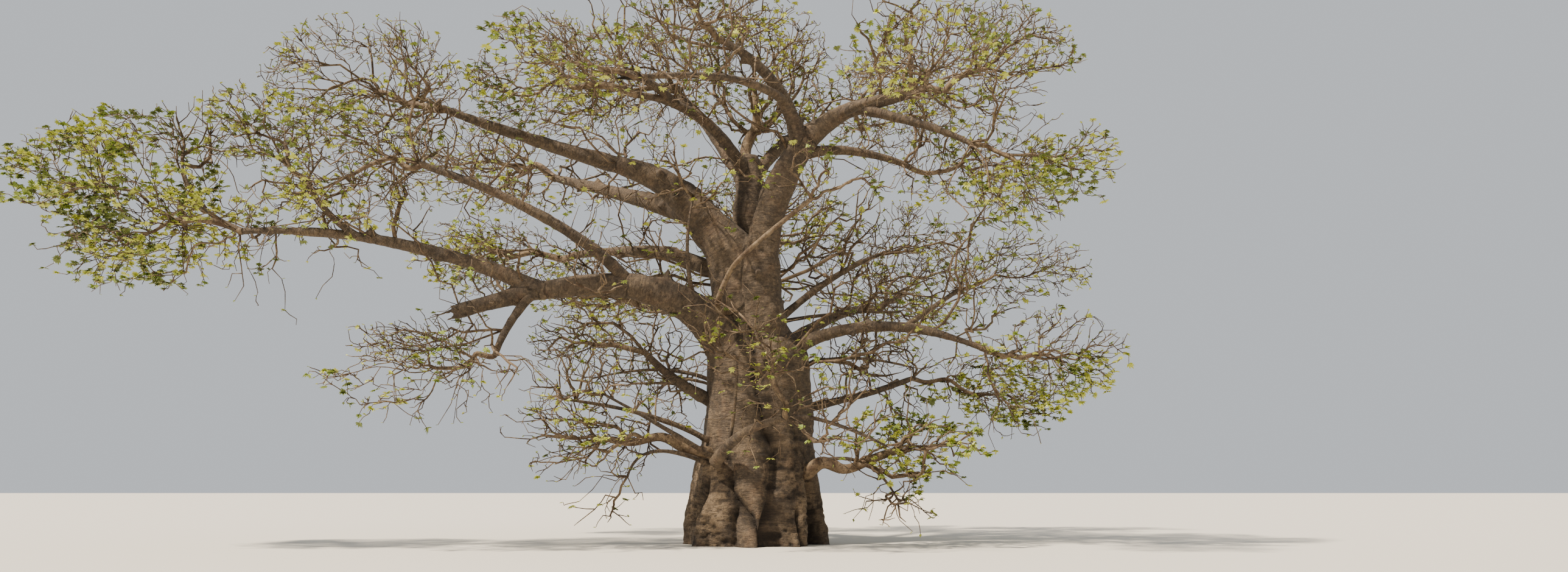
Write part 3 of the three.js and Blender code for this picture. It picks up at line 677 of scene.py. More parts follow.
class TrunkAxis:
    """The trunk as a line that shoots leave, sampled as a limb is."""

    HEIGHTS = (1.9, 7.3)
    SAMPLES = 90
    AROUND = 24

    def __init__(self, trunk: Trunk) -> None:
        """Takes the trunk's middle, and its radius with the flutes evened out.

        Args:
            trunk: the trunk.
        """
        self.name = TRUNK_NODE
        z = np.linspace(*self.HEIGHTS, self.SAMPLES)
        self.along = z - z[0]
        self.length = self.along[-1]
        self.points = np.stack([trunk.middle(z), np.zeros_like(z), z], axis=1)
        angle, height = np.meshgrid(np.linspace(0, 2 * np.pi, self.AROUND, endpoint=False), z)
        self.radii = trunk.radius(angle, height).mean(axis=1) * trunk.depth_ratio
        self.heading = np.broadcast_to(UP, self.points.shape)


@dataclass(frozen=True)
class Fold:
    """A crease down the trunk.

    It has heights from its top, the angle from the front at each in degrees, and its half width
    and depth. It fades over a height at its ends.
    """

    heights: tuple[float, ...]
    angles: tuple[float, ...]
    width: float = 0.1
    depth: float = 0.12
    fade: float = 0.7


FOLDS = (
    Fold((6.6, 4.4, 3.0, 2.3, 1.2, 0.0), (-4, 0, 8, 26, 24, 15), 0.14, 0.34, 1.2),
    Fold((2.6, 2.1, 1.0, 0.0), (-38, -33, -10, 11), 0.1, 0.32),
    Fold((1.25, 0.0), (-13, -23), 0.06, 0.28, 0.4),
    Fold((1.9, 1.5, 0.0), (-46, -51, -66), 0.1, 0.5),
    Fold((0.8, 0.0), (-38, -43), 0.06, 0.1, 0.4),
    Fold((2.0, 1.4, 0.0), (60, 65, 71), 0.1, 0.45),
    Fold((1.3, 0.0), (44, 47), 0.06, 0.25, 0.5),
    Fold((5.2, 3.4, 2.0, 0.0), (58, 50, 44, 36), 0.2, 0.13, 1.2),
    Fold((4.4, 3.0, 1.6), (-52, -44, -50), 0.2, 0.1, 1.0),
    Fold((2.4, 1.0, 0.0), (108, 102, 98), 0.12, 0.2),
    Fold((1.5, 0.0), (134, 140), 0.08, 0.14),
    Fold((5.6, 3.2, 1.4, 0.0), (172, 164, 170, 178), 0.2, 0.22, 1.2),
    Fold((1.7, 0.0), (196, 190), 0.08, 0.16),
    Fold((2.6, 1.2, 0.0), (222, 230, 236), 0.12, 0.2),
    Fold((2.2, 0.0), (262, 258), 0.12, 0.2),
    Fold((4.6, 2.8, 1.4), (276, 284, 280), 0.2, 0.12, 1.0),
)


@dataclass(frozen=True)
class BrokenWood:
    """Short broken branches: knobs along the thick limbs, and the splinters of torn ends.

    Splinters' sizes are shares of the torn end's radius, and a taper holds the share of the
    radius at each place. Knobs are counted by the metre.
    """

    splinters: int = 9
    splinter_length: tuple[float, float] = (1.8, 5.0)
    splinter_radius: tuple[float, float] = (0.35, 0.65)
    splinter_taper: tuple[float, ...] = (1.1, 1.0, 0.75, 0.35)
    splinter_sides: int = 8
    splinter_seat: float = 0.55
    splinter_back: int = 8
    splinter_turn: float = 0.3
    splinter_lean: float = 0.35
    knob_each: float = 0.55
    knob_radius: tuple[float, float] = (0.05, 0.1)
    knob_height: tuple[float, float] = (0.04, 0.26)
    knob_places: tuple[float, ...] = (0.3, 0.75, 0.92, 1.0)
    knob_taper: tuple[float, ...] = (2.2, 1.5, 1.05, 0.8)
    knob_sides: int = 10
    knob_lean: float = 0.35
    knob_thickest: float = 0.4
    bare_root: int = 6
    bare_tip: int = 4

    def torn_end(self, limb: Limb) -> Surface:
        """Tapering splinters that lean out of a limb's end.

        Args:
            limb: the limb.

        Returns:
            The corners and the faces.
        """
        random = np.random.default_rng(Draw.SPLINTERS)
        count = self.splinters
        turn = 2 * np.pi * np.arange(count) / count
        turn = turn + random.uniform(-self.splinter_turn, self.splinter_turn, count)
        out = np.cos(turn)[:, None] * limb.side[-1] + np.sin(turn)[:, None] * limb.lift[-1]
        root = limb.points[-self.splinter_back] + out * limb.radii[-1] * self.splinter_seat
        length = limb.radii[-1] * random.uniform(*self.splinter_length, count)[:, None]
        lean = random.uniform(0.0, self.splinter_lean, (count, 1))
        tip = root + (limb.heading[-1] + out * lean) * length
        shares = np.linspace(0, 1, len(self.splinter_taper))[None, :, None]
        lines = root[:, None] * (1 - shares) + tip[:, None] * shares
        radii = limb.radii[-1] * random.uniform(*self.splinter_radius, count)[:, None]
        return tubes(lines, radii * np.array(self.splinter_taper), self.splinter_sides)

    def knobs(self, limb: Limb, seed: int) -> Surface:
        """Stubs that stand out of a limb's side, each flared where it leaves.

        Args:
            limb: the limb.
            seed: picks their places and sizes.

        Returns:
            The corners and the faces.
        """
        random = np.random.default_rng(seed)
        count = max(1, int(limb.length * self.knob_each))
        samples = len(limb.points)
        place = random.integers(samples // self.bare_root, samples - self.bare_tip, count)
        turn = random.uniform(0, 2 * np.pi, count)[:, None]
        out = np.cos(turn) * limb.side[place] + np.sin(turn) * limb.lift[place]
        out = unit(out + self.knob_lean * limb.heading[place])
        thick = random.uniform(*self.knob_radius, count)
        thick = np.minimum(thick, limb.radii[place] * self.knob_thickest)[:, None]
        reach = limb.radii[place][:, None] + random.uniform(*self.knob_height, (count, 1))
        shares = np.array(self.knob_places)[None, :, None]
        lines = limb.points[place][:, None] + out[:, None] * reach[:, None] * shares
        return tubes(lines, thick * np.array(self.knob_taper), self.knob_sides)


@dataclass(frozen=True)
class Creases:
    """The trunk's folds: how sharp and round their forms are, how they wander and how they join."""

    trunk: Trunk
    sharp_share: float = 0.6
    round_share: float = 0.5
    round_width: float = 3.0
    wander: float = 5.0
    uneven: float = 0.35
    noise_size: float = 0.7
    overlap: float = 0.3
    top_margin: float = 0.1
    bottom_margin: float = 0.2

    def depth(self, points: np.ndarray) -> np.ndarray:
        """Depth of the folds.

        Each is depth (0.6 exp(-|d| / width) + 0.5 exp(-(d / 3 width)^2)), d being the distance
        over the bark to its line, so that the lobes between them are round and meet in a sharp
        valley. It fades at its ends. Where two meet, the deeper counts, and a part of the other.

        Args:
            points: places on the bark, n by 3.

        Returns:
            The depth at each.
        """
        angle = np.degrees(np.arctan2(points[:, 0] - self.trunk.middle(points[:, 2]), -points[:, 1]))
        depth = np.zeros(len(points))
        for number, fold in enumerate(FOLDS):
            wander = self.wander * value_noise(points * UP, self.noise_size, Pattern.FOLD_WANDER + number)
            line = np.interp(-points[:, 2], -np.array(fold.heights), fold.angles) + wander
            turn = (angle - line + 180.0) % 360.0 - 180.0
            aside = np.abs(np.radians(turn)) * np.hypot(points[:, 0], points[:, 1])
            top, bottom = fold.heights[0], fold.heights[-1]
            fade = 1 - smooth_step(top - fold.fade, top + self.top_margin, points[:, 2])
            if bottom > 0:
                fade = fade * smooth_step(bottom - self.bottom_margin, bottom + fold.fade, points[:, 2])
            uneven = 1.0 + self.uneven * value_noise(points, self.noise_size, Pattern.FOLD_UNEVEN + number)
            form = (self.sharp_share * np.exp(-aside / fold.width)
                    + self.round_share * np.exp(-((aside / (self.round_width * fold.width)) ** 2)))
            own = fold.depth * fade * uneven * form
            depth = np.maximum(depth, own) + self.overlap * np.minimum(depth, own)
        return depth


@dataclass
class Corners:
    """The skin's corners: places, whether each is on the ground, and where it is on its carrier.

    That is its (side, lift, along), the carrier's radius there and whether it is the trunk.
    """

    points: np.ndarray
    grounded: np.ndarray
    own: np.ndarray
    radius: np.ndarray
    on_trunk: np.ndarray


@dataclass(frozen=True)
class Relief:
    """The bark's relief in metres: lumps, knobs, wrinkles that run round the limb, and pits.

    All but the pits are smaller on thinner limbs, down to the least scale. The pitted bark is
    the trunk's, most below the heights given.
    """

    trunk: Trunk
    lump: float = 0.04
    lump_size: float = 0.55
    knob: float = 0.018
    knob_size: float = 0.2
    wrinkle: float = 0.02
    wrinkle_size: float = 0.5
    wrinkle_squeeze: float = 3.6
    wrinkle_sharpness: float = 2.4
    wrinkle_patch: float = 1.1
    wrinkle_share: float = 0.65
    wrinkle_change: float = 0.5
    pit: float = 0.04
    pit_size: float = 0.14
    pit_squeeze: float = 1.7
    pit_edges: tuple[float, float] = (-0.1, 0.6)
    pitted_size: float = 0.9
    pitted_edges: tuple[float, float] = (-0.15, 0.35)
    pitted_more: float = 0.2
    pitted_heights: tuple[float, float] = (1.6, 3.4)
    pitted_loss: float = 0.9
    full_radius: float = 0.5
    least_scale: float = 0.22
    # Painted shade in the hollows: its level on flat bark, and the crease depth that raises it by one.
    hollow_flat: float = 0.3
    fold_shade_depth: float = 0.5
    mottle_least: float = 0.22
    mottle_more: float = 0.58

    def wrinkles(self, own: np.ndarray) -> np.ndarray:
        """Ridges 1 - 2.4 |noise| of places drawn out along the limb, stronger in patches."""
        squeezed = stretched(own, self.wrinkle_squeeze)
        noise = value_noise(squeezed, self.wrinkle_size, Pattern.WRINKLES)
        ridge = 1 - self.wrinkle_sharpness * np.abs(noise)
        patches = value_noise(own, self.wrinkle_patch, Pattern.WRINKLE_PATCHES)
        return self.wrinkle * ridge * (self.wrinkle_share + self.wrinkle_change * patches)

    def pitted(self, corners: Corners) -> np.ndarray:
        """How pitted the bark is, from 0 to 1.

        Args:
            corners: the skin's corners.

        Returns:
            The share for each corner.
        """
        patches = value_noise(corners.own, self.pitted_size, Pattern.PITTED) + self.pitted_more
        pitted = smooth_step(*self.pitted_edges, patches) * corners.on_trunk
        return pitted * (1 - smooth_step(*self.pitted_heights, corners.points[:, 2]) * self.pitted_loss)

    def carve(self, mesh: bpy.types.Mesh, corners: Corners) -> None:
        """Moves each corner along its normal, and stores what the bark's pattern needs, painted shade too.

        Args:
            mesh: the smooth skin.
            corners: its corners.
        """
        points, own = corners.points, corners.own
        normals = read_rows(mesh.vertices, "normal", 3, float)
        scale = np.clip(corners.radius / self.full_radius, self.least_scale, 1.0)
        pitted = self.pitted(corners)
        pits = value_noise(stretched(own, self.pit_squeeze), self.pit_size, Pattern.PITS)
        pits = -self.pit * pitted * smooth_step(*self.pit_edges, pits)
        knobs = self.knob * value_noise(own, self.knob_size, Pattern.KNOBS)
        lumps = self.lump * value_noise(own, self.lump_size, Pattern.LUMPS)
        creases = np.where(corners.on_trunk, Creases(self.trunk).depth(points), 0.0)
        fine = scale * (self.wrinkles(own) + knobs) + pits
        moved = points + normals * (scale * lumps + fine - creases)[:, None]
        moved[:, 2] = np.where(corners.grounded, 0.0, np.maximum(moved[:, 2], OFF_GROUND))
        mesh.vertices.foreach_set("co", moved.ravel())
        mesh.update()
        # Painted shade, more in the creases and where the fine relief dips.
        hollow_shade = self.hollow_flat - fine / (2 * self.pit) + creases / self.fold_shade_depth
        give_attribute(mesh, "grain", own)
        give_attribute(mesh, "hollow_shade", np.clip(hollow_shade, 0.0, 1.0))
        give_attribute(mesh, "pitted", self.mottle_least + self.mottle_more * pitted)


@dataclass
class BarkSkin:
    """One surface over the trunk and the thick limbs, rounded in its crotches and carved."""

    trunk: Trunk
    limbs: list[Limb]
    voxel: float = 0.0525
    rounding: int = 7
    sides: int = 24
    every: int = 2
    block: int = 4096
    broken: BrokenWood = BrokenWood()

    def build(self, material: bpy.types.Material) -> bpy.types.Object:
        """Joins closed grids into one skin by voxels, cuts it at the ground and gives it relief.

        Args:
            material: the bark.

        Returns:
            The skin.
        """
        gather = Gatherer()
        gather.add(*self.trunk.surface())
        for number, limb in enumerate(self.limbs):
            gather.add(*closed_rings(limb.grid(self.sides, self.every)[0]))
            gather.add(*self.broken.knobs(limb, Draw.KNOBS + number))
            if limb.name in TORN:
                gather.add(*self.broken.torn_end(limb))
        rough = gather.piece("bark_skin", BARK_SLOT, material)
        modifier = rough.modifiers.new("voxels", "REMESH")
        modifier.mode = "VOXEL"
        modifier.voxel_size = self.voxel
        evaluated = rough.evaluated_get(bpy.context.evaluated_depsgraph_get())
        mesh = bpy.data.meshes.new_from_object(evaluated)
        rough.modifiers.clear()
        rough.data = mesh
        self.cut_at_ground(mesh)
        points = read_rows(mesh.vertices, "co", 3, float)
        grounded = points[:, 2] < ON_GROUND
        points = self.rounded(mesh, points, grounded)
        Relief(self.trunk).carve(mesh, Corners(points, grounded, *self.own_places(points)))
        mesh.materials.clear()
        mesh.materials.append(material)
        mesh.polygons.foreach_set("use_smooth", np.ones(len(mesh.polygons), dtype=bool))
        return rough

    @staticmethod
    def cut_at_ground(mesh: bpy.types.Mesh) -> None:
        """Cuts the mesh flat at the ground and closes the cut.

        Args:
            mesh: the skin.
        """
        work = bmesh.new()
        work.from_mesh(mesh)
        everything = work.verts[:] + work.edges[:] + work.faces[:]
        cut = bmesh.ops.bisect_plane(work, geom=everything, plane_co=(0, 0, 0), plane_no=(0, 0, -1),
                                     clear_outer=True)
        edges = [item for item in cut["geom_cut"] if isinstance(item, bmesh.types.BMEdge)]
        bmesh.ops.holes_fill(work, edges=edges, sides=0)
        bmesh.ops.recalc_face_normals(work, faces=work.faces[:])
        work.to_mesh(mesh)
        work.free()

    def rounded(self, mesh: bpy.types.Mesh, points: np.ndarray, grounded: np.ndarray) -> np.ndarray:
        """Moves each corner above the ground half way to its neighbours' mean, a few times.

        Args:
            mesh: the skin.
            points: its corners.
            grounded: whether each is on the ground.

        Returns:
            The corners' new places.
        """
        edges = read_rows(mesh.edges, "vertices", 2, np.int64)
        ends = np.concatenate([edges[:, 0], edges[:, 1]])
        others = np.concatenate([edges[:, 1], edges[:, 0]])
        number = np.bincount(ends, minlength=len(points))[:, None]
        for _ in range(self.rounding):
            near = [np.bincount(ends, points[others, axis], len(points)) for axis in range(3)]
            mean = np.stack(near, axis=1) / number
            points = np.where(grounded[:, None], points, (points + mean) / 2)
        mesh.vertices.foreach_set("co", points.ravel())
        mesh.update()
        return points

    def own_places(self, points: np.ndarray) -> tuple[np.ndarray, np.ndarray, np.ndarray]:
        """Each corner's place in the frame of what carries it.

        A corner belongs to the limb sample, or the trunk, whose surface it is nearest to.

        Args:
            points: corners, n by 3.

        Returns:
            (side, lift, along) for each corner, the radius there, and whether it is on the trunk.
        """
        middle = np.concatenate([limb.points for limb in self.limbs])
        side = np.concatenate([limb.side for limb in self.limbs])
        lift = np.concatenate([limb.lift for limb in self.limbs])
        radii = np.concatenate([limb.radii for limb in self.limbs])
        along = np.concatenate([limb.along + LIMB_APART * number for number, limb in enumerate(self.limbs)])
        nearest = np.zeros(len(points), dtype=int)
        outside = np.zeros(len(points))
        for low in range(0, len(points), self.block):
            part = points[low:low + self.block]
            square = (part**2).sum(1)[:, None] + (middle**2).sum(1) - 2 * part @ middle.T
            gap = np.sqrt(np.maximum(square, 0)) - radii
            nearest[low:low + self.block] = gap.argmin(1)
            outside[low:low + self.block] = gap.min(1)
        offset = points - middle[nearest]
        aside = (offset * side[nearest]).sum(1)
        above = (offset * lift[nearest]).sum(1)
        own = np.stack([aside, above, along[nearest]], axis=1)
        on_trunk = self.trunk.distance(points) < outside
        own[on_trunk] = points[on_trunk]
        radius = np.where(on_trunk, self.trunk.neck, radii[nearest])
        return own, radius, on_trunk


@dataclass
class ThinLimbs:
    """The limbs too thin for the skin, as tubes with a collar and relief of their own.

    A grid is given as corners in a ring, and how many samples on the next ring lies.
    """

    limbs: list[Limb]
    fine_radius: float = 0.1
    fine: tuple[int, int] = (14, 1)
    plain: tuple[int, int] = (10, 2)
    lump: float = 0.1
    lump_size: float = 0.22
    lump_squeeze: float = 1.6
    # Painted shade in the dents between lumps: its level on flat bark, and how much a dent adds.
    hollow_flat: float = 0.35
    lump_shade: float = 0.5
    pitted: float = 0.35
    broken: BrokenWood = BrokenWood()

    def build(self, material: bpy.types.Material) -> bpy.types.Object:
        """Joins one tube for each limb, radius times 1 + lump noise, and stores its own places.

        Args:
            material: the bark.

        Returns:
            The joined limbs.
        """
        gather = Gatherer()
        owns: list[np.ndarray] = []
        painted_shades: list[np.ndarray] = []
        for number, limb in enumerate(self.limbs):
            corners, own, radii = limb.grid(*(self.fine if limb.radii[0] > self.fine_radius else self.plain))
            flat = own.reshape(-1, 3) + np.array([0.0, 0.0, LIMB_APART * number])
            relief = value_noise(stretched(flat, self.lump_squeeze), self.lump_size, Pattern.THIN_LUMPS)
            middle = corners.mean(axis=1, keepdims=True)
            swollen = 1 + self.lump * relief.reshape(radii.shape)
            gather.add(*closed_rings(middle + (corners - middle) * swollen[:, :, None]))
            owns.append(flat)
            # Painted shade, darker in the dents between lumps.
            painted_shades.append(np.clip(self.hollow_flat - self.lump_shade * relief, 0.0, 1.0))
            if limb.name in TORN:
                splinters, faces = self.broken.torn_end(limb)
                gather.add(splinters, faces)
                owns.append(splinters)
                # The splinters take the darkest colour all over.
                painted_shades.append(np.ones(len(splinters)))
        piece = gather.piece("thin_limbs", BARK_SLOT, material)
        give_attribute(piece.data, "grain", np.concatenate(owns))
        give_attribute(piece.data, "hollow_shade", np.concatenate(painted_shades))
        give_attribute(piece.data, "pitted", np.full(gather.total, self.pitted))
        return piece


class Surroundings:
    """What a twig may not enter: the trunk, the limbs, the ground and other masses' spaces."""

    LIMB_MARGIN = 0.03
    GROUND_MARGIN = 0.3
    SPACE_MARGIN = 0.04
    EVERY = 2

    def __init__(self, trunk: Trunk, limbs: dict[str, Limb]) -> None:
        """Gathers the limbs' samples and the masses' spaces into arrays.

        Args:
            trunk: the trunk.
            limbs: all limbs by name.
        """
        self.trunk = trunk
        self.limbs = limbs
        samples = [limb.points[::self.EVERY] for limb in limbs.values()]
        self.points = np.concatenate(samples)
        self.radii = np.concatenate([limb.radii[::self.EVERY] for limb in limbs.values()])
        self.owner = np.repeat(np.arange(len(limbs)), [len(places) for places in samples])
        self.number = {name: number for number, name in enumerate(limbs)}
        self.centres = np.array([mass.centre for mass in MASSES.values()])
        self.halves = np.array([mass.half for mass in MASSES.values()])

    def reaches(self, points: np.ndarray) -> np.ndarray:
        """How far places lie towards the edge of each mass's space, 0 at its centre, 1 at its edge."""
        return np.linalg.norm((points[:, None] - self.centres) / self.halves, axis=2)

    def in_space(self, points: np.ndarray, mass: int) -> bool:
        """Whether places are inside one mass's own space.

        Args:
            points: the places, n by 3.
            mass: the mass's number.

        Returns:
            Whether all of them are.
        """
        reach = self.reaches(points)
        own = reach[:, mass].copy()
        reach[:, mass] = np.inf
        return bool(np.all(own < 1.0) and np.all(own < reach.min(1) - self.SPACE_MARGIN))

    def clear(self, points: np.ndarray, carrier: str, ignore_carrier: bool = False) -> bool:
        """Whether places are clear of limbs, trunk and ground, and inside the solids' box.

        Args:
            points: the places, n by 3.
            carrier: the limb that the twig grows on from. Ahead of its tip it isn't in the way.
            ignore_carrier: for twigs that leave the side of their carrier.

        Returns:
            Whether all of them are.
        """
        if points[:, 2].min() < self.GROUND_MARGIN or self.trunk.distance(points).min() < self.LIMB_MARGIN:
            return False
        if (points < np.array(CAD_BOX[0])).any() or (points > np.array(CAD_BOX[1])).any():
            return False
        square = ((points[:, None] - self.points) ** 2).sum(2)
        blocked = square < (self.radii + self.LIMB_MARGIN) ** 2
        if carrier in self.number:
            limb = self.limbs[carrier]
            ahead = (points - limb.points[-1]) @ limb.heading[-1] > 0
            blocked[:, self.owner == self.number[carrier]] &= not ignore_carrier
            blocked[np.ix_(ahead, self.owner == self.number[carrier])] = False
        return not blocked.any()


@dataclass(frozen=True)
class TwigRule:
    """How the twigs of one level bend and choose their buds.

    They have so many places and a wobble as a share of their length. A turn and the path from
    the root make a bud dearer. The bend lies onward from the bud by a share of the way, and
    aside and up by shares of the way's parts.
    """

    places: int
    wobble: float
    turn_cost: float = 0.8
    path_cost: float = 0.35
    onward: float = 0.22
    aside: float = 0.32
    rise: float = 0.1


class Level(Enum):
    """The stem and main twigs follow the solids' own, and each further level fills in between."""

    STEM = TwigRule(22, 0.065)
    MAIN = TwigRule(10, 0.075)
    SIDE = TwigRule(6, 0.08, turn_cost=1.6, onward=0.4)
    FINE = TwigRule(4, 0.11, turn_cost=1.6, onward=0.36)


@dataclass(frozen=True)
class ShootRule:
    """Side twigs along a limb or the trunk: how many a metre, from where, how swept and how long.

    Those that head more to the front than the frontmost, as a part of a unit heading in Y, are
    left out.
    """

    per_metre: float
    bare: float
    sweep: float
    reach: tuple[float, float]
    frontmost: float = -1.0


class Shoots(Enum):
    """Thick limbs are bare for longer, and the trunk's shoots spread flatter and leave its face free."""

    THIN_BOUGH = ShootRule(4.5, 0.15, 0.9, (0.4, 1.7))
    THIN_LIMB = ShootRule(3.8, 0.12, 1.05, (0.6, 3.0))
    THICK_LIMB = ShootRule(3.8, 0.3, 1.05, (0.6, 3.0))
    TRUNK = ShootRule(15.0, 0.05, 0.25, (1.2, 4.0), -0.55)

    @staticmethod
    def of(limb: Limb | TrunkAxis) -> Shoots:
        """The shoots that a limb or the trunk has.

        Args:
            limb: the limb, or the trunk's axis.

        Returns:
            Their rule.
        """
        if limb.name == TRUNK_NODE:
            return Shoots.TRUNK
        if limb.name in THIN_BOUGHS:
            return Shoots.THIN_BOUGH
        return Shoots.THICK_LIMB if limb.radii[0] > THICK_RADIUS else Shoots.THIN_LIMB


class Growth:
    """Twigs that branch, each from the cheapest bud, and the buds that they add.

    A twig has up to so many waves. A place on the limb's side costs its distance times
    SIDE_COST, and a twig starts there at SIDE_SEAT of the radius and is swept by SIDE_SWEEP.
    """

    PIPE_POWER = 0.45
    WAVES = 4
    SIDE_COST = 1.25
    SIDE_SEAT = 0.8
    SIDE_SWEEP = 0.7

    def __init__(self, capacity: int, seed: int, limb: Limb | TrunkAxis | None = None) -> None:
        """Makes room for buds.

        Args:
            capacity: the most buds that will be.
            seed: picks the twigs' wobble.
            limb: where given, twigs may also leave its side.
        """
        self.point = np.zeros((capacity, 3))
        self.onward = np.zeros((capacity, 3))
        self.path = np.zeros(capacity)
        self.parent = np.full(capacity, -1)
        self.count = 0
        self.limb = limb
        self.random = np.random.default_rng(seed)
        self.twigs: list[tuple[np.ndarray, tuple[int, int, int]]] = []

    def add_bud(self, point: np.ndarray, onward: np.ndarray, path: float, parent: int) -> int:
        """Adds a bud.

        Args:
            point: its place.
            onward: the heading there.
            path: the way along the twigs from their root.
            parent: the bud before it, or -1.

        Returns:
            Its number.
        """
        number = self.count
        self.point[number] = point
        self.onward[number] = onward
        self.path[number] = path
        self.parent[number] = parent
        self.count += 1
        return number

    def costs(self, goal: np.ndarray, rule: TwigRule) -> np.ndarray:
        """What a twig to a goal costs from each bud.

        The way, times 1 + turn cost (1 - cosine of the turn) / 2, plus path cost times path.

        Args:
            goal: where the twig would end.
            rule: its costs.

        Returns:
            One cost for each bud.
        """
        way = goal - self.point[:self.count]
        length = np.sqrt((way * way).sum(1)) + TINY
        turn = 1 - (way * self.onward[:self.count]).sum(1) / length
        return length * (1 + rule.turn_cost * turn / 2) + rule.path_cost * self.path[:self.count]

    def side_bud(self, goal: np.ndarray) -> tuple[float, np.ndarray, np.ndarray]:
        """The nearest place on the limb's side.

        Args:
            goal: where the twig would end.

        Returns:
            What the place costs, where it is and the heading of a twig that leaves there.
        """
        way = goal - self.limb.points
        gap = np.sqrt((way * way).sum(1)) - self.limb.radii
        nearest = int(gap.argmin())
        heading = self.limb.heading[nearest]
        out = unit(way[nearest] - (way[nearest] @ heading) * heading)
        start = self.limb.points[nearest] + out * self.limb.radii[nearest] * self.SIDE_SEAT
        return gap[nearest] * self.SIDE_COST, start, unit(out + self.SIDE_SWEEP * heading)

    def reach_for(self, goal: np.ndarray, level: Level) -> tuple[int, np.ndarray, np.ndarray]:
        """Chooses the bud for a new twig.

        Args:
            goal: where the twig would end.
            level: its rule.

        Returns:
            The bud's number (-1 for a new one on the limb), its place and its heading.
        """
        best, cost = -1, np.inf
        if self.count:
            costs = self.costs(goal, level.value)
            best = int(costs.argmin())
            cost = costs[best]
        if self.limb is not None:
            side_cost, start, heading = self.side_bud(goal)
            if side_cost < cost:
                return -1, start, heading
        return best, self.point[best], self.onward[best]

    def line(self, start: np.ndarray, onward: np.ndarray, goal: np.ndarray, rule: TwigRule) -> np.ndarray:
        """A twig's places: the solids' Bezier with a wobble, the sum of w / k sin(k pi share).

        Args:
            start: where it begins.
            onward: its heading there.
            goal: where it ends.
            rule: how it bends.

        Returns:
            The places, n by 3.
        """
        way = goal - start
        length = math.sqrt(way @ way)
        bend = start + onward * length * rule.onward + way * np.array([rule.aside, rule.aside, rule.rise])
        shares = np.linspace(0, 1, rule.places)
        wave = np.arange(1, min(self.WAVES + 1, rule.places))
        swing = self.random.normal(0.0, rule.wobble * length, (len(wave), 3)) / wave[:, None]
        return bend_line(start, bend, goal, shares) + np.sin(np.pi * shares[:, None] * wave) @ swing

    def add_twig(self, line: np.ndarray, bud: int, onward: np.ndarray) -> None:
        """Keeps a twig and adds a bud at its middle and one at its tip.

        Args:
            line: its places.
            bud: the bud that it leaves, or -1 for a new one at its start.
            onward: the heading there.
        """
        if bud < 0:
            bud = self.add_bud(line[0], onward, 0.0, -1)
        length = np.linalg.norm(np.diff(line, axis=0), axis=1).sum()
        before, half = (len(line) - 1) // 2, len(line) // 2
        ahead = unit(line[half] - line[before - (len(line) % 2)])
        middle = self.add_bud((line[before] + line[half]) / 2, ahead, self.path[bud] + length / 2, bud)
        end = self.add_bud(line[-1], unit(line[-1] - line[-2]), self.path[bud] + length, middle)
        self.twigs.append((line, (bud, middle, end)))

    def radii(self, least: float, stem: float | None) -> tuple[np.ndarray, np.ndarray]:
        """Pipe rule: a bud's radius goes with the number of tips that it feeds, to a power.

        Args:
            least: radius of a twig that feeds one tip, or the least radius.
            stem: radius where all tips are fed, if there is one stem.

        Returns:
            Each bud's radius and the number of tips beyond it.
        """
        tips = np.zeros(self.count)
        inner = np.unique(self.parent[:self.count][self.parent[:self.count] >= 0])
        tips[np.setdiff1d(np.arange(self.count), inner)] = 1
        for number in range(self.count - 1, -1, -1):
            if self.parent[number] >= 0:
                tips[self.parent[number]] += tips[number]
        if stem is None:
            return least * tips**self.PIPE_POWER, tips
        return np.maximum(least, stem * (tips / tips[0]) ** self.PIPE_POWER), tips


@dataclass
class Spray:
    """The grown twigs of one mass or limb, as lines with radii and the tips that may carry leaves."""

    lines: dict[tuple[int, int], list[tuple[np.ndarray, np.ndarray]]] = field(default_factory=dict)
    tips: list[np.ndarray] = field(default_factory=list)
    headings: list[np.ndarray] = field(default_factory=list)
    spurs: list[np.ndarray] = field(default_factory=list)


class Zone(Enum):
    """The parts of the crown that share a mesh of twigs."""

    LEFT = "left"
    TOP = "top"
    RIGHT = "right"
    BACK = "back"

    @staticmethod
    def of(place: np.ndarray) -> Zone:
        """The zone that a place in the crown belongs to.

        Args:
            place: the place.

        Returns:
            Its zone.
        """
        if place[1] > BACK_FROM:
            return Zone.BACK
        if place[0] < LEFT_UNTIL:
            return Zone.LEFT
        return Zone.TOP if place[2] > TOP_FROM else Zone.RIGHT


# How dense the twigs of each zone are.
DENSITY = {Zone.LEFT: 1.3, Zone.TOP: 1.08, Zone.RIGHT: 0.93, Zone.BACK: 0.85}


@dataclass(frozen=True)
class Fill:
    """How the finer twigs fill the crown.

    Side and fine twigs are counted by the cubic metre, and a limb's fine twigs by its side
    twigs. Twigs keep to flat patches of a noise, so that sky shows between sprays.
    """

    lobes: float = 0.32
    lobe_size: float = 0.7
    lobe_seeds: int = 1000
    side_twigs: float = 2.1
    side_seed: float = 0.31
    first_side: int = 200
    fine_twigs: float = 22.0
    limb_fines: float = 10.5
    fine_rounds: int = 3
    leafy_from: float = 0.9
    leafy_thinning: float = 0.25
    patch_size: float = 1.25
    patch_squeeze: float = 1.8
    patch_least: float = -0.2
    near_reach: tuple[float, float] = (0.35, 1.1)
    near_onward: float = 0.75
    near_outward: float = 0.3
    near_up: float = 0.25
    near_spread: float = 0.5
    near_least: float = 0.15
    shoot_flatness: float = 0.6
    shoot_up: float = 0.3
    side_clear: float = 0.7
    fine_clear: float = 0.6


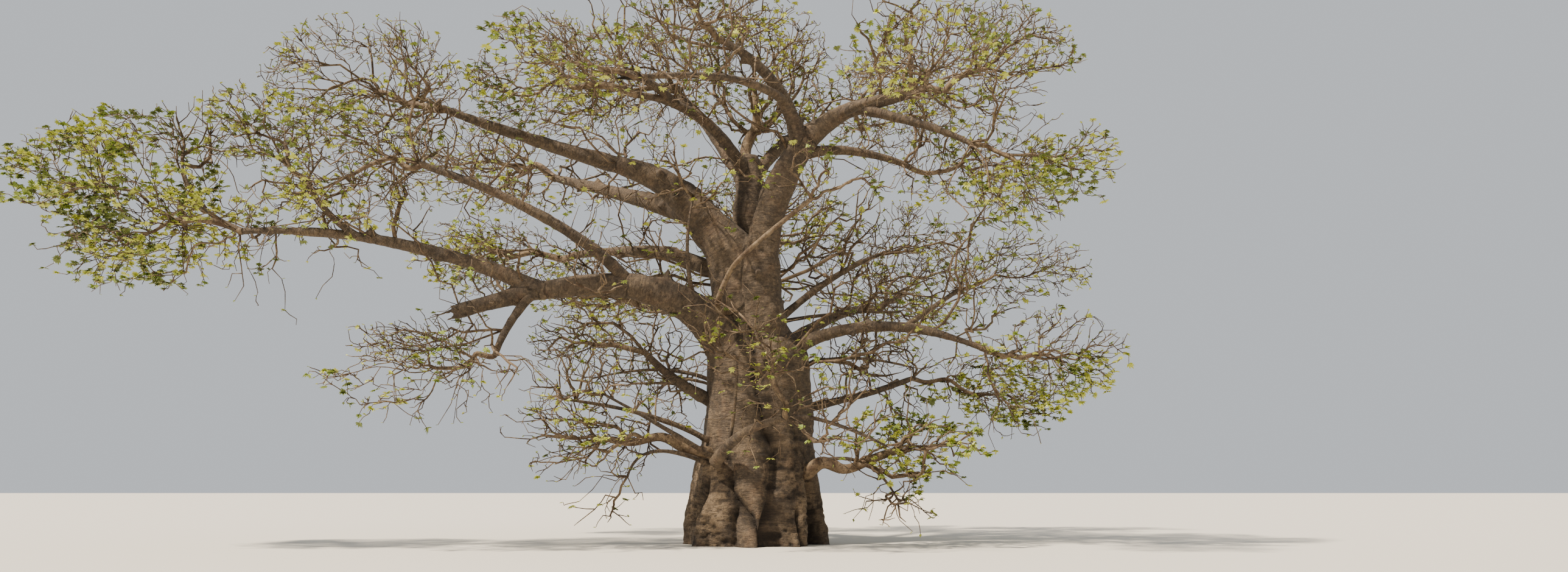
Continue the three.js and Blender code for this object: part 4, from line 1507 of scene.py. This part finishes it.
@dataclass(frozen=True)
class Thickness:
    """Radii of twigs and how many sides they have, thick ones first.

    A twig starts no thicker than a share of its bud or of its own middle. Its tip, where none
    grows on, is a share of the radius there.
    """

    least: float = 0.0125
    root_of_bud: float = 0.9
    root_of_middle: float = 1.25
    tip: float = 0.65
    thick: float = 0.05
    thick_sides: int = 10
    medium: float = 0.02
    medium_sides: int = 5
    thin_sides: int = 3

    def sides(self, radius: float) -> int:
        """Corners in a ring of a twig with a radius at its middle."""
        return (self.thick_sides if radius > self.thick
                else self.medium_sides if radius > self.medium else self.thin_sides)


@dataclass
class Crown:
    """All twigs: each mass grown by the solids' rule and on to finer twigs.

    The main twigs end in a shell that is a share of the space, below its rim, short of it by the
    length of the solids' leaf. A stem is a share of its bough's tip, starts a little way back in
    it and ends short of the space's centre. One from the trunk flares at its root.
    """

    trunk: Trunk
    limbs: dict[str, Limb]
    fill: Fill = Fill()
    thickness: Thickness = Thickness()
    rim: float = 0.96
    shell: float = 0.14
    cad_leaf: float = 0.75
    tries: int = 60
    stem_share: float = 0.85
    stem_short: float = 0.15
    stem_flare: float = 1.3
    stem_sunk: float = 0.05
    stem_back: float = 0.1
    seed_step: float = 0.618

    RATIOS = np.array([0.8191725134, 0.6710436067, 0.5497004779])
    POLES = np.array([[1, 0, 0], [-1, 0, 0], [0, 0, 1], [0, 1, 0], [0, -1, 0]], dtype=float)

    def __post_init__(self) -> None:
        """Sets up what the twigs keep clear of."""
        self.around = Surroundings(self.trunk, self.limbs)

    @staticmethod
    def on_sphere(height: float, turn: float) -> np.ndarray:
        """A place on a unit sphere, at z = 1 - 2 height, turned by 2 pi turn.

        Args:
            height: a share of the way down.
            turn: a share of the way round.

        Returns:
            The place.
        """
        level = 1 - 2 * height
        flat = math.sqrt(max(0.0, 1 - level * level))
        return np.array([flat * math.cos(2 * math.pi * turn), flat * math.sin(2 * math.pi * turn), level])

    def main_goal(self, mass: MassPlan, number: int, seed: float) -> np.ndarray:
        """The place of the solids' twig: first the space's poles, then an even spread over its shell.

        Args:
            mass: the mass.
            number: the twig's number.
            seed: shifts the spread.

        Returns:
            The place that the twig grows to.
        """
        height, turn, depth = (seed + self.RATIOS * (number + 1)) % 1.0
        outward = self.POLES[number].copy() if number < len(self.POLES) else self.on_sphere(height, turn)
        outward *= np.array(mass.half) * self.rim * (1 - self.shell * depth)
        length = np.linalg.norm(outward)
        return outward * (1 - self.cad_leaf / length) + np.array(mass.centre)

    def fill_goals(self, mass: MassPlan, count: int, seed: float, start: np.ndarray) -> np.ndarray:
        """Places spread evenly through a space, nearest the stem first.

        The share of the way to the edge is the cube root of an even share, so that each bit of
        the space gets as many, less a lobe noise of the direction.

        Args:
            mass: the mass.
            count: how many places are tried.
            seed: shifts the spread.
            start: where the stem begins.

        Returns:
            The places that are kept, n by 3.
        """
        fill = self.fill
        shares = (seed + self.RATIOS * (np.arange(count)[:, None] + fill.first_side)) % 1.0
        outward = np.stack([self.on_sphere(height, turn) for height, turn, _ in shares])
        lobes = value_noise(outward, fill.lobe_size, int(seed * fill.lobe_seeds))
        lobes = 1 - fill.lobes * (0.5 + 0.5 * lobes)
        outward *= np.cbrt(shares[:, 2:]) * lobes[:, None] * self.rim * np.array(mass.half)
        goals = self.sprayed(outward + np.array(mass.centre))
        return goals[np.argsort(np.linalg.norm(goals - start, axis=1))]

    def sprayed(self, goals: np.ndarray) -> np.ndarray:
        """Keeps the places that lie in flat patches of a noise, so that sky shows between sprays."""
        squeezed = stretched(goals, self.fill.patch_squeeze)
        return goals[value_noise(squeezed, self.fill.patch_size, Pattern.SPRAYS) > self.fill.patch_least]

    def stem_start(self, mass: MassPlan) -> tuple[np.ndarray, np.ndarray]:
        """Where a mass's stem begins.

        Args:
            mass: the mass.

        Returns:
            The place and the heading there.
        """
        if mass.start is None:
            limb = self.limbs[mass.carrier]
            return limb.points[-1] - limb.heading[-1] * self.stem_back, limb.heading[-1]
        point = np.array(mass.start)
        return point, unit(np.array([point[0] - float(self.trunk.middle(point[2])), point[1], 0.0]))

    def grow_mass(self, number: int, mass: MassPlan) -> Spray:
        """Grows one mass: its stem, the solids' main twigs, then finer levels through its space.

        Its root bud is put out of reach once the stem has left it.

        Args:
            number: the mass's number.
            mass: the mass.

        Returns:
            Its twigs.
        """
        fill = self.fill
        seed = (self.seed_step * (number + 1)) % 1.0
        volume = 4 / 3 * math.pi * float(np.prod(mass.half))
        thinning = 1 - fill.leafy_thinning * (mass.leafy > fill.leafy_from)
        thinned = fill.fine_twigs * thinning * DENSITY[Zone.of(np.array(mass.centre))]
        sides, fines = int(fill.side_twigs * volume), int(thinned * volume)
        growth = Growth(2 * (mass.twigs + 3 + sides + fines), Draw.MASSES + number)
        start, onward = self.stem_start(mass)
        growth.add_bud(start, onward, 0.0, -1)
        goal = np.array(mass.centre) * (1 - self.stem_short) + start * self.stem_short
        growth.add_twig(growth.line(start, onward, goal, Level.STEM.value), 0, onward)
        growth.path[0] = OUT_OF_REACH
        for attempt in range(self.tries):
            if len(growth.twigs) > mass.twigs:
                break
            self.try_twig(growth, self.main_goal(mass, attempt, seed), Level.MAIN, number, mass)
        for goal in self.fill_goals(mass, sides, (seed + fill.side_seed) % 1.0, start):
            self.try_twig(growth, goal, Level.SIDE, number, mass)
        for _ in range(fill.fine_rounds):
            for goal in self.near_goals(growth, fines // fill.fine_rounds):
                self.try_twig(growth, goal, Level.FINE, number, mass)
        radius = (mass.girth or LIMBS[mass.carrier].girth[1]) / 2
        if mass.start is None:
            return self.finish_spray(growth, self.stem_share * radius, radius, -self.stem_sunk * onward)
        inward = Limb.SUNK * towards_axis(start)
        return self.finish_spray(growth, self.stem_share * radius, self.stem_flare * radius, inward)

    def near_goals(self, growth: Growth, count: int) -> np.ndarray:
        """Places a short way from the buds grown so far, ahead of them and above, most at the far ones.

        Args:
            growth: the twigs grown so far.
            count: how many places are tried.

        Returns:
            The places that are kept, n by 3.
        """
        fill, random = self.fill, growth.random
        path = growth.path[1:growth.count]
        weight = fill.near_least + path / max(LEAST_PATH, path.max())
        pick = 1 + random.choice(len(path), count, p=weight / weight.sum())
        outward = unit(growth.point[pick] * np.array([1.0, 1.0, 0.0]))
        away = fill.near_onward * growth.onward[pick] + fill.near_outward * outward + fill.near_up * UP
        away = unit(away + random.normal(0, fill.near_spread, (count, 3)))
        return self.sprayed(growth.point[pick] + away * random.uniform(*fill.near_reach, (count, 1)))

    def try_twig(self, growth: Growth, goal: np.ndarray, level: Level, number: int, mass: MassPlan) -> None:
        """Adds a twig unless it would leave its space or touch a limb.

        Args:
            growth: the twigs grown so far.
            goal: where it would end.
            level: its rule.
            number: the mass's number.
            mass: the mass.
        """
        bud, start, onward = growth.reach_for(goal, level)
        line = growth.line(start, onward, goal, level.value)
        if self.around.in_space(line[1:], number) and self.around.clear(line[1:], mass.carrier):
            growth.add_twig(line, bud, onward)

    def grow_limb(self, number: int, limb: Limb | TrunkAxis, rule: ShootRule) -> Spray:
        """Grows side twigs along a limb's outer part or the trunk, mostly clear of the masses' spaces.

        Args:
            number: the limb's number.
            limb: the limb, or the trunk's axis.
            rule: its shoots.

        Returns:
            Its twigs.
        """
        fill = self.fill
        density = DENSITY[Zone.of(limb.points[-1])]
        count = int(rule.per_metre * limb.length * (1 - rule.bare) * density)
        growth = Growth(3 * count + int(3 * count * fill.limb_fines) + 3, Draw.LIMBS + number, limb)
        random = growth.random
        place = np.sort(rule.bare + (1 - rule.bare) * random.random(count)) * limb.length
        heading = along_line(place, limb.along, limb.heading)
        away = random.normal(size=(count, 3)) * np.array([1.0, 1.0, fill.shoot_flatness])
        away = unit(away - (away * heading).sum(1, keepdims=True) * heading)
        free = away[:, 1] > rule.frontmost
        away = unit(away + rule.sweep * heading + fill.shoot_up * UP)
        out = np.interp(place, limb.along, limb.radii) + random.uniform(*rule.reach, count)
        goals = (along_line(place, limb.along, limb.points) + away * out[:, None])[free]
        goals = goals[self.around.reaches(goals).min(1) > fill.side_clear]
        self.try_side_twigs(growth, goals, Level.SIDE, rule)
        for _ in range(fill.fine_rounds if growth.count else 0):
            goals = self.near_goals(growth, int(count * fill.limb_fines / fill.fine_rounds))
            goals = goals[self.around.reaches(goals).min(1) > fill.fine_clear]
            self.try_side_twigs(growth, goals, Level.FINE, rule)
        return self.finish_spray(growth, None)

    def try_side_twigs(self, growth: Growth, goals: np.ndarray, level: Level, rule: ShootRule) -> None:
        """Adds twigs that may leave the side of the growth's limb, unless they would touch another.

        Args:
            growth: the twigs grown so far.
            goals: where they would end, n by 3.
            level: their rule.
            rule: how far shoots reach.
        """
        for goal in goals:
            bud, start, onward = growth.reach_for(goal, level)
            if bud >= 0 and growth.path[bud] > rule.reach[1]:
                continue
            line = growth.line(start, onward, goal, level.value)
            if self.around.clear(line[2:], growth.limb.name, ignore_carrier=True):
                growth.add_twig(line, bud, onward)

    def finish_spray(self, growth: Growth, stem: float | None, root_radius: float = 0.0,
                     inward: np.ndarray | None = None) -> Spray:
        """Gives each twig its radii and sorts twigs by how many places and sides they need.

        Args:
            growth: the grown twigs.
            stem: radius of the stem, or none where twigs leave a limb's side.
            root_radius: radius at the stem's root, the same as that of the limb it carries on.
            inward: way from the stem's start to its root, under the bark.

        Returns:
            The twigs as lines, with the tips that may carry leaves.
        """
        spray, form = Spray(), self.thickness
        radii, tips = growth.radii(form.least, stem)
        for line, (root, middle, end) in growth.twigs:
            first = min(radii[root] * form.root_of_bud, radii[middle] * form.root_of_middle)
            if root_radius:
                first, root_radius = root_radius, 0.0
                line = np.concatenate([line[:1] + inward, line])
            last = radii[end] if tips[end] > 1 else radii[end] * form.tip
            thick = np.interp(np.linspace(0, 1, len(line)), [0, 0.5, 1], [first, radii[middle], last])
            spray.lines.setdefault((len(line), form.sides(radii[middle])), []).append((line, thick))
            if tips[end] == 1:
                spray.tips.append(line[-1])
                spray.headings.append(unit(line[-1] - line[-2]))
            if tips[middle] == 1:
                spray.spurs.append((line[(len(line) - 1) // 2] + line[len(line) // 2]) / 2)
        return spray


@dataclass(frozen=True)
class Leaves:
    """Young hand-shaped leaves: fans of narrow leaflets in a whorl on a twig's tip.

    Open and folded hold the turns of a leaf's leaflets in degrees. Width, belly, droop and fold
    are shares of a leaflet's length, and the outermost leaflets are shorter by the outer loss.
    """

    leaflet: float = 0.12
    open_size: float = 1.15
    folded_size: float = 0.75
    uneven: tuple[float, float] = (0.7, 1.25)
    width: float = 0.42
    onward: float = 0.5
    spread: float = 0.6
    flatness: Triple = (1.0, 1.0, 0.45)
    rise: float = 0.1
    tilt: float = 0.24
    open: tuple[float, ...] = (-72, -36, 0, 36, 72)
    folded: tuple[float, ...] = (-34, 0, 34)
    outer_loss: float = 0.3
    belly: float = 0.55
    droop: float = 0.12
    fold: float = 0.08

    def whorls(self, tips: np.ndarray, headings: np.ndarray, fans: int, seed: int) -> Surface:
        """Whorls of leaves on many tips at once.

        A leaf's stalk p leans out from the twig's heading and up, n is the leaf's normal, and
        leaflet k points along cos(a) p + sin(a) (n x p). Each is a kite of two triangles: base,
        two belly corners at 0.55 of its length, and a tip that droops.

        Args:
            tips: places, m by 3.
            headings: the twigs' headings there.
            fans: open leaves on each tip, or 1 for a small one that is still folded.
            seed: picks their turns.

        Returns:
            The corners and the faces.
        """
        random = np.random.default_rng(seed)
        count = len(tips) * fans
        tips = np.repeat(tips, fans, axis=0)
        headings = np.repeat(headings, fans, axis=0)
        size = self.open_size if fans > 1 else self.folded_size
        size = size * self.leaflet * random.uniform(*self.uneven, count)
        stalk = self.onward * headings + random.normal(0, self.spread, tips.shape)
        stalk = unit(stalk * self.flatness + self.rise * UP)
        normal = UP + random.normal(0, self.tilt, tips.shape)
        normal = unit(normal - (normal * stalk).sum(1, keepdims=True) * stalk)
        across = np.cross(normal, stalk)
        angle = np.radians(self.open if fans > 1 else self.folded)
        ray = np.cos(angle)[None, :, None] * stalk[:, None] + np.sin(angle)[None, :, None] * across[:, None]
        length = size[:, None] * (1 - self.outer_loss * np.abs(angle) / angle.max())
        belly = np.cross(normal[:, None], ray) * (length * self.width / 2)[:, :, None]
        base = np.broadcast_to(tips[:, None], ray.shape)
        rise = normal[:, None] * (length * self.fold)[:, :, None]
        tip = base + ray * length[:, :, None] - UP * (length * self.droop)[:, :, None]
        waist = base + self.belly * ray * length[:, :, None] + rise
        corners = np.stack([base, waist - belly, tip, waist + belly], axis=2).reshape(-1, 3)
        first = np.arange(len(corners) // 4)[:, None] * 4
        return corners, [np.concatenate([first + [0, 1, 2], first + [0, 2, 3]])]


def colour(code: str) -> tuple[float, float, float, float]:
    """An sRGB hex colour as the linear one that a shader takes.

    Each part v becomes v / 12.92 up to 0.04045 and ((v + 0.055) / 1.055)^2.4 above.

    Args:
        code: the colour, as #rrggbb.

    Returns:
        Red, green, blue and 1.
    """
    parts = [int(code[at:at + 2], 16) / 255 for at in (1, 3, 5)]
    red, green, blue = (
        part / 12.92 if part <= 0.04045 else ((part + 0.055) / 1.055) ** 2.4 for part in parts)
    return red, green, blue, 1.0


def add_node(tree: bpy.types.NodeTree, kind: str, inputs: dict[str | int, object] | None = None,
             **settings: object) -> bpy.types.Node:
    """Adds a node with its settings, socket values and links.

    Args:
        tree: the material's nodes.
        kind: the node's type.
        inputs: for each socket, a value or another node's output to link.
        settings: the node's own properties.

    Returns:
        The new node.
    """
    node = tree.nodes.new(kind)
    for name, value in settings.items():
        setattr(node, name, value)
    for name, value in (inputs or {}).items():
        if isinstance(value, bpy.types.NodeSocket):
            tree.links.new(value, node.inputs[name])
        else:
            node.inputs[name].default_value = value
    return node


def new_material(name: str) -> tuple[bpy.types.Material, bpy.types.NodeTree]:
    """An empty node material.

    Args:
        name: its name.

    Returns:
        The material and its nodes.
    """
    material = bpy.data.materials.new(name)
    material.use_nodes = True
    material.node_tree.nodes.clear()
    return material, material.node_tree


def finish_bark(tree: bpy.types.NodeTree, code: str, layers: tuple[Layer, ...], bumps: tuple[Bump, ...],
                roughness: float) -> None:
    """Lays colours over a bark's own, bumps it and ends it in the shader.

    Args:
        tree: the material's nodes.
        code: the bark's own colour.
        layers: the colours laid over it, lowest first.
        bumps: the bumps, each on the one before.
        roughness: how matt the bark is.
    """
    base = colour(code)
    for value, low, high, share, shade in layers:
        factor = add_node(tree, "ShaderNodeMapRange", {
            "Value": value, "From Min": low, "From Max": high, "To Max": share}).outputs["Result"]
        mix = add_node(tree, "ShaderNodeMix", {0: factor, 6: base, 7: colour(shade)}, data_type="RGBA")
        base = mix.outputs[2]
    normal: dict[str, bpy.types.NodeSocket] = {}
    for value, strength, height in bumps:
        bump = add_node(tree, "ShaderNodeBump", {
            "Height": value, "Strength": strength, "Distance": height, **normal})
        normal = {"Normal": bump.outputs["Normal"]}
    shader = add_node(tree, "ShaderNodeBsdfPrincipled", {
        "Base Color": base, "Roughness": roughness, **normal})
    add_node(tree, "ShaderNodeOutputMaterial", {"Surface": shader.outputs["BSDF"]})


@dataclass(frozen=True)
class LivingBark:
    """Living bark of a baobab, smooth cork stretched over swelling wood.

    The eye sees matt grey-brown, rubbed to tan on the lumps and blushing pink-brown in patches,
    with wrinkles that run round the limb. So the pattern is read from the limb's own frame,
    squeezed along it. Painted shade darkens the pits, the grooves of the wrinkles and rings and
    the hollows. Real pores of 2 to 5 mm are drawn at 30 mm, the least that shows.
    """

    name: str = "baobab_bark"
    grey: str = "#4b4035"
    tan: str = "#857158"
    blush: str = "#6b5440"
    pore_and_shade: str = "#1b130c"
    roughness: float = 0.9
    noise_roughness: float = 0.6
    patch_size: float = 0.8
    blush_size: float = 0.5
    mottle_size: float = 0.12
    wrinkle_size: float = 0.2
    ring_size: float = 0.24
    pore_size: float = 0.035
    squeeze: float = 3.2
    ring_squeeze: float = 10.0

    def build(self) -> bpy.types.Material:
        """Makes the material.

        Returns:
            The material, whose patterns are noises with features of the sizes given.
        """
        material, tree = new_material(self.name)
        own = add_node(tree, "ShaderNodeAttribute", attribute_name="grain").outputs["Vector"]
        hollow_shade = add_node(tree, "ShaderNodeAttribute", attribute_name="hollow_shade").outputs["Fac"]
        pitted = add_node(tree, "ShaderNodeAttribute", attribute_name="pitted").outputs["Fac"]
        place = add_node(tree, "ShaderNodeTexCoord").outputs["Object"]
        ringed, lined = (
            add_node(tree, "ShaderNodeMapping", {"Vector": own, "Scale": (1, 1, squeeze)}).outputs["Vector"]
            for squeeze in (self.squeeze, self.ring_squeeze))
        patches, blushes, mottle, wrinkles, rings, pores = (
            add_node(tree, "ShaderNodeTexNoise", {
                "Vector": vector, "Scale": 1 / size, "Detail": detail,
                "Roughness": self.noise_roughness}).outputs["Fac"]
            for vector, size, detail in (
                (place, self.patch_size, 4.0), (place, self.blush_size, 3.0), (place, self.mottle_size, 5.0),
                (ringed, self.wrinkle_size, 5.0), (lined, self.ring_size, 2.0), (place, self.pore_size, 3.0)))
        # Painted shade darkens pits, wrinkle and ring grooves and hollows; pores are dark specks.
        layers = (
            (patches, 0.4, 0.62, pitted, self.tan), (blushes, 0.52, 0.66, 0.4, self.blush),
            (mottle, 0.5, 0.62, 0.35, self.tan), (mottle, 0.47, 0.32, pitted, self.pore_and_shade),
            (wrinkles, 0.44, 0.33, 0.5, self.pore_and_shade), (rings, 0.5, 0.36, 0.38, self.pore_and_shade),
            (pores, 0.54, 0.7, 0.5, self.pore_and_shade), (hollow_shade, 0.45, 1.0, 0.92, self.pore_and_shade))
        bumps = ((wrinkles, 1.0, 0.06), (rings, 0.45, 0.03), (mottle, pitted, 0.1), (pores, 0.8, 0.015))
        finish_bark(tree, self.grey, layers, bumps, self.roughness)
        return material


@dataclass(frozen=True)
class TwigBark:
    """Thin bark of twigs: dry grey-tan where old and browner where young.

    The eye sees matt, knobbly stems, blotched, with dark scars, drawn at 40 mm where the real
    ones are 10.
    """

    name: str = "twig_bark"
    old: str = "#78664f"
    young: str = "#4c3a28"
    scar: str = "#2a1f15"
    roughness: float = 0.85
    patch_size: float = 0.3
    blotch_size: float = 0.11
    scar_size: float = 0.04

    def build(self) -> bpy.types.Material:
        """Makes the material."""
        material, tree = new_material(self.name)
        place = add_node(tree, "ShaderNodeTexCoord").outputs["Object"]
        patches, blotches, scars = (
            add_node(tree, "ShaderNodeTexNoise", {
                "Vector": place, "Scale": 1 / size, "Detail": detail}).outputs["Fac"]
            for size, detail in ((self.patch_size, 3.0), (self.blotch_size, 4.0), (self.scar_size, 3.0)))
        layers = (
            (patches, 0.38, 0.62, 1.0, self.young), (blotches, 0.47, 0.33, 0.7, self.scar),
            (scars, 0.52, 0.68, 0.6, self.scar))
        bumps = ((blotches, 0.8, 0.04), (scars, 0.7, 0.012))
        finish_bark(tree, self.old, layers, bumps, self.roughness)
        return material


@dataclass(frozen=True)
class YoungLeaf:
    """Soft new leaf blade: yellow-green, a little lighter in patches, satin rather than glossy."""

    name: str
    blade: str
    light: str
    patch_size: float = 0.06
    roughness: float = 0.5

    def build(self) -> bpy.types.Material:
        """Makes the material."""
        material, tree = new_material(self.name)
        place = add_node(tree, "ShaderNodeTexCoord").outputs["Object"]
        patches = add_node(tree, "ShaderNodeTexNoise", {
            "Vector": place, "Scale": 1 / self.patch_size, "Detail": 2.0}).outputs["Fac"]
        mix = add_node(tree, "ShaderNodeMix", {0: patches, 6: colour(self.blade), 7: colour(self.light)},
                       data_type="RGBA")
        shader = add_node(tree, "ShaderNodeBsdfPrincipled", {
            "Base Color": mix.outputs[2], "Roughness": self.roughness})
        add_node(tree, "ShaderNodeOutputMaterial", {"Surface": shader.outputs["BSDF"]})
        return material


class LeafTint(Enum):
    """The leaf colours that are dealt out in patches."""

    FRESH = YoungLeaf("leaf_fresh", "#a0a83a", "#bcc158")
    GREEN = YoungLeaf("leaf_green", "#768a30", "#94a346")
    OLIVE = YoungLeaf("leaf_olive", "#566428", "#727d38")


@dataclass(frozen=True)
class Sunlight:
    """A far light: its name, its strength, and its width and turns in degrees."""

    name: str
    strength: float
    spread: float
    turn: Triple


@dataclass(frozen=True)
class Studio:
    """Plain pale floor, a warm sun with a soft fill, and the camera at the photograph's place."""

    eye: Triple = (0.83, -30.0, 1.6)
    focal_pixels: float = 1800.0
    tilt_pixels: float = 323.5
    width_pixels: float = 2576.0
    sensor: float = 36.0
    farthest: float = 500.0
    floor_half: float = 150.0
    floor_colour: str = "#cfcac0"
    floor_roughness: float = 0.9
    sky_colour: str = "#ebf0f6"
    sky_strength: float = 0.74
    sun_colour: str = "#fff0da"
    suns: tuple[Sunlight, ...] = (
        Sunlight("key", 9.8, 3.0, (36, 0, -58)), Sunlight("fill", 0.25, 40.0, (62, 0, 60)))

    def build(self) -> None:
        """Makes floor, world, lights and camera."""
        self.build_floor()
        world = bpy.data.worlds.new("studio")
        world.use_nodes = True
        background = world.node_tree.nodes["Background"]
        background.inputs["Color"].default_value = colour(self.sky_colour)
        background.inputs["Strength"].default_value = self.sky_strength
        bpy.context.scene.world = world
        for sun in self.suns:
            light = bpy.data.lights.new(sun.name, "SUN")
            light.energy = sun.strength
            light.color = colour(self.sun_colour)[:3]
            light.angle = math.radians(sun.spread)
            new_object(sun.name, light).rotation_euler = np.radians(sun.turn)
        self.build_camera()

    def build_floor(self) -> None:
        """Makes the floor."""
        material, tree = new_material("floor")
        shader = add_node(tree, "ShaderNodeBsdfPrincipled", {
            "Base Color": colour(self.floor_colour), "Roughness": self.floor_roughness})
        add_node(tree, "ShaderNodeOutputMaterial", {"Surface": shader.outputs["BSDF"]})
        half = self.floor_half
        mesh = bpy.data.meshes.new("floor")
        mesh.from_pydata([(-half, -half, 0), (half, -half, 0), (half, half, 0), (-half, half, 0)], [],
                         [(0, 1, 2, 3)])
        mesh.materials.append(material)
        new_object("floor", mesh)

    def build_camera(self) -> None:
        """Makes the camera, level but for a tilt up of so many of the photograph's pixels."""
        lens = bpy.data.cameras.new("camera")
        lens.sensor_width = self.sensor
        lens.lens = self.focal_pixels * self.sensor / self.width_pixels
        lens.clip_end = self.farthest
        camera = new_object("camera", lens)
        camera.location = self.eye
        camera.rotation_euler = (math.pi / 2 + math.atan(self.tilt_pixels / self.focal_pixels), 0, 0)
        bpy.context.scene.camera = camera


@dataclass
class Tree:
    """The whole baobab: its bark, its twigs and its leaves.

    Limbs of the skin's girth or more at their root are under the bark skin. The chance that a
    tip is leafy is its spray's leafy share, more in patches, less towards the spray's own top
    and less high in the crown. A bare share of the tips carries nothing, and the others a folded
    leaf. Leaves' tints change between patches, with some jitter.
    """

    skin_girth: float = 0.42
    limb_leafy: float = 0.2
    limb_seed: int = 100
    leafy_patch: float = 1.4
    leafy_squeeze: float = 2.2
    patch_contrast: float = 1.8
    top_shares: tuple[float, float] = (30, 95)
    top_loss: float = 0.7
    high_heights: tuple[float, float] = (10.0, 14.5)
    high_loss: float = 0.5
    bare_share: float = 0.35
    tip_fans: int = 3
    spur_fans: int = 2
    full_share: float = 0.9
    tint_patch: float = 0.9
    tint_jitter: float = 0.25
    tint_steps: tuple[float, float] = (0.0, 0.28)

    def build(self) -> None:
        """Builds every piece and hides the solids that it stands for."""
        trunk = Trunk()
        limbs: dict[str, Limb] = {}
        plans = LIMBS | THIN_BOUGHS
        for number, (name, plan) in enumerate(plans.items()):
            limbs[name] = Limb(name, plan, limbs.get(plan.carrier), number)
        thick = [limb for name, limb in limbs.items() if plans[name].girth[0] >= self.skin_girth]
        thin = [limb for name, limb in limbs.items() if plans[name].girth[0] < self.skin_girth]
        bark = LivingBark().build()
        skin = BarkSkin(trunk, thick).build(bark)
        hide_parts(TRUNK_NODE, *(limb.node for limb in thick))
        self.report(skin)
        thin_piece = ThinLimbs(thin).build(bark)
        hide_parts(*(limb.node for limb in thin if limb.name in LIMBS))
        self.report(thin_piece)
        self.grow_crown(Crown(trunk, limbs))

    def grow_crown(self, crown: Crown) -> None:
        """Grows twigs zone by zone, then deals leaves of each tint to their tips.

        Args:
            crown: what grows them.
        """
        sprays: dict[Zone, list[Spray]] = {zone: [] for zone in Zone}
        nodes: dict[Zone, list[str]] = {zone: [] for zone in Zone}
        leafy: list[tuple[Spray, float, int]] = []
        for number, (name, mass) in enumerate(MASSES.items()):
            spray = crown.grow_mass(number, mass)
            zone = Zone.of(np.array(mass.centre))
            sprays[zone].append(spray)
            nodes[zone].append("mass_" + name)
            leafy.append((spray, mass.leafy, number))
        whole = [limb for name, limb in crown.limbs.items() if name != TORN_STUB]
        for number, limb in enumerate([*whole, TrunkAxis(crown.trunk)]):
            spray = crown.grow_limb(number, limb, Shoots.of(limb).value)
            sprays[Zone.of(limb.points[-1])].append(spray)
            leafy.append((spray, self.limb_leafy, self.limb_seed + number))
        twig_bark = TwigBark().build()
        for zone in Zone:
            piece = self.twig_piece(zone, sprays[zone], twig_bark)
            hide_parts(*nodes[zone])
            self.report(piece)
        self.deal_leaves(leafy)

    @staticmethod
    def twig_piece(zone: Zone, sprays: list[Spray], material: bpy.types.Material) -> bpy.types.Object:
        """One mesh of all the twigs in a zone.

        Args:
            zone: the zone.
            sprays: its twigs.
            material: their bark.

        Returns:
            The new object.
        """
        gather = Gatherer()
        for spray in sprays:
            for (_, sides), group in spray.lines.items():
                lines = np.stack([line for line, _ in group])
                radii = np.stack([thick for _, thick in group])
                gather.add(*tubes(lines, radii, sides))
        return gather.piece(f"twigs_{zone.value}", BARK_SLOT, material)

    def leaf_chance(self, tips: np.ndarray, share: float) -> np.ndarray:
        """The chance that each of a spray's tips is leafy.

        Args:
            tips: their places, n by 3.
            share: the spray's leafy share.

        Returns:
            One chance for each.
        """
        patches = value_noise(stretched(tips, self.leafy_squeeze), self.leafy_patch, Pattern.LEAFY)
        chance = share * (1 + self.patch_contrast * patches)
        low, high = np.percentile(tips[:, 2], self.top_shares)
        chance *= 1 - self.top_loss * smooth_step(low, high, tips[:, 2])
        return chance * (1 - self.high_loss * smooth_step(*self.high_heights, tips[:, 2]))

    def deal_leaves(self, leafy: list[tuple[Spray, float, int]]) -> None:
        """Leaves on the tips, in tints that follow a noise with a seeded jitter.

        Args:
            leafy: each spray with its leafy share and its seed.
        """
        leaves = Leaves()
        gatherers = {tint: Gatherer() for tint in LeafTint}
        for spray, share, seed in leafy:
            if not spray.tips:
                continue
            random = np.random.default_rng(Draw.LEAVES + seed)
            at_tip = np.arange(len(spray.tips) + len(spray.spurs)) < len(spray.tips)
            tips = np.stack(spray.tips + spray.spurs)
            headings = np.stack(spray.headings + [UP] * len(spray.spurs))
            chance = self.leaf_chance(tips, share)
            drawn = random.random(len(tips))
            folded = at_tip & (drawn > self.bare_share + chance)
            full = np.where(at_tip, self.tip_fans, self.spur_fans) + (share > self.full_share)
            fans = np.where(drawn < chance, full, folded)
            shade = value_noise(tips, self.tint_patch, Pattern.TINTS)
            tint = np.digitize(shade + random.normal(0, self.tint_jitter, len(tips)), self.tint_steps)
            for number, choice in enumerate(LeafTint):
                for each in range(1, self.tip_fans + 2):
                    pick = (fans == each) & (tint == number)
                    if pick.any():
                        gatherers[choice].add(*leaves.whorls(tips[pick], headings[pick], each, seed))
        for tint, gather in gatherers.items():
            self.report(gather.piece(tint.value.name, LEAF_SLOT, tint.value.build(), soft=False))

    @staticmethod
    def report(piece: bpy.types.Object) -> None:
        """Logs a piece's name and size."""
        log.info("%s: %d triangles", piece.name, triangle_count(piece.data))


def main() -> None:
    """Builds the tree and the studio."""
    logging.basicConfig(level=logging.INFO, format="%(name)s %(message)s")
    Tree().build()
    Studio().build()


if __name__ == "__main__":
    main()
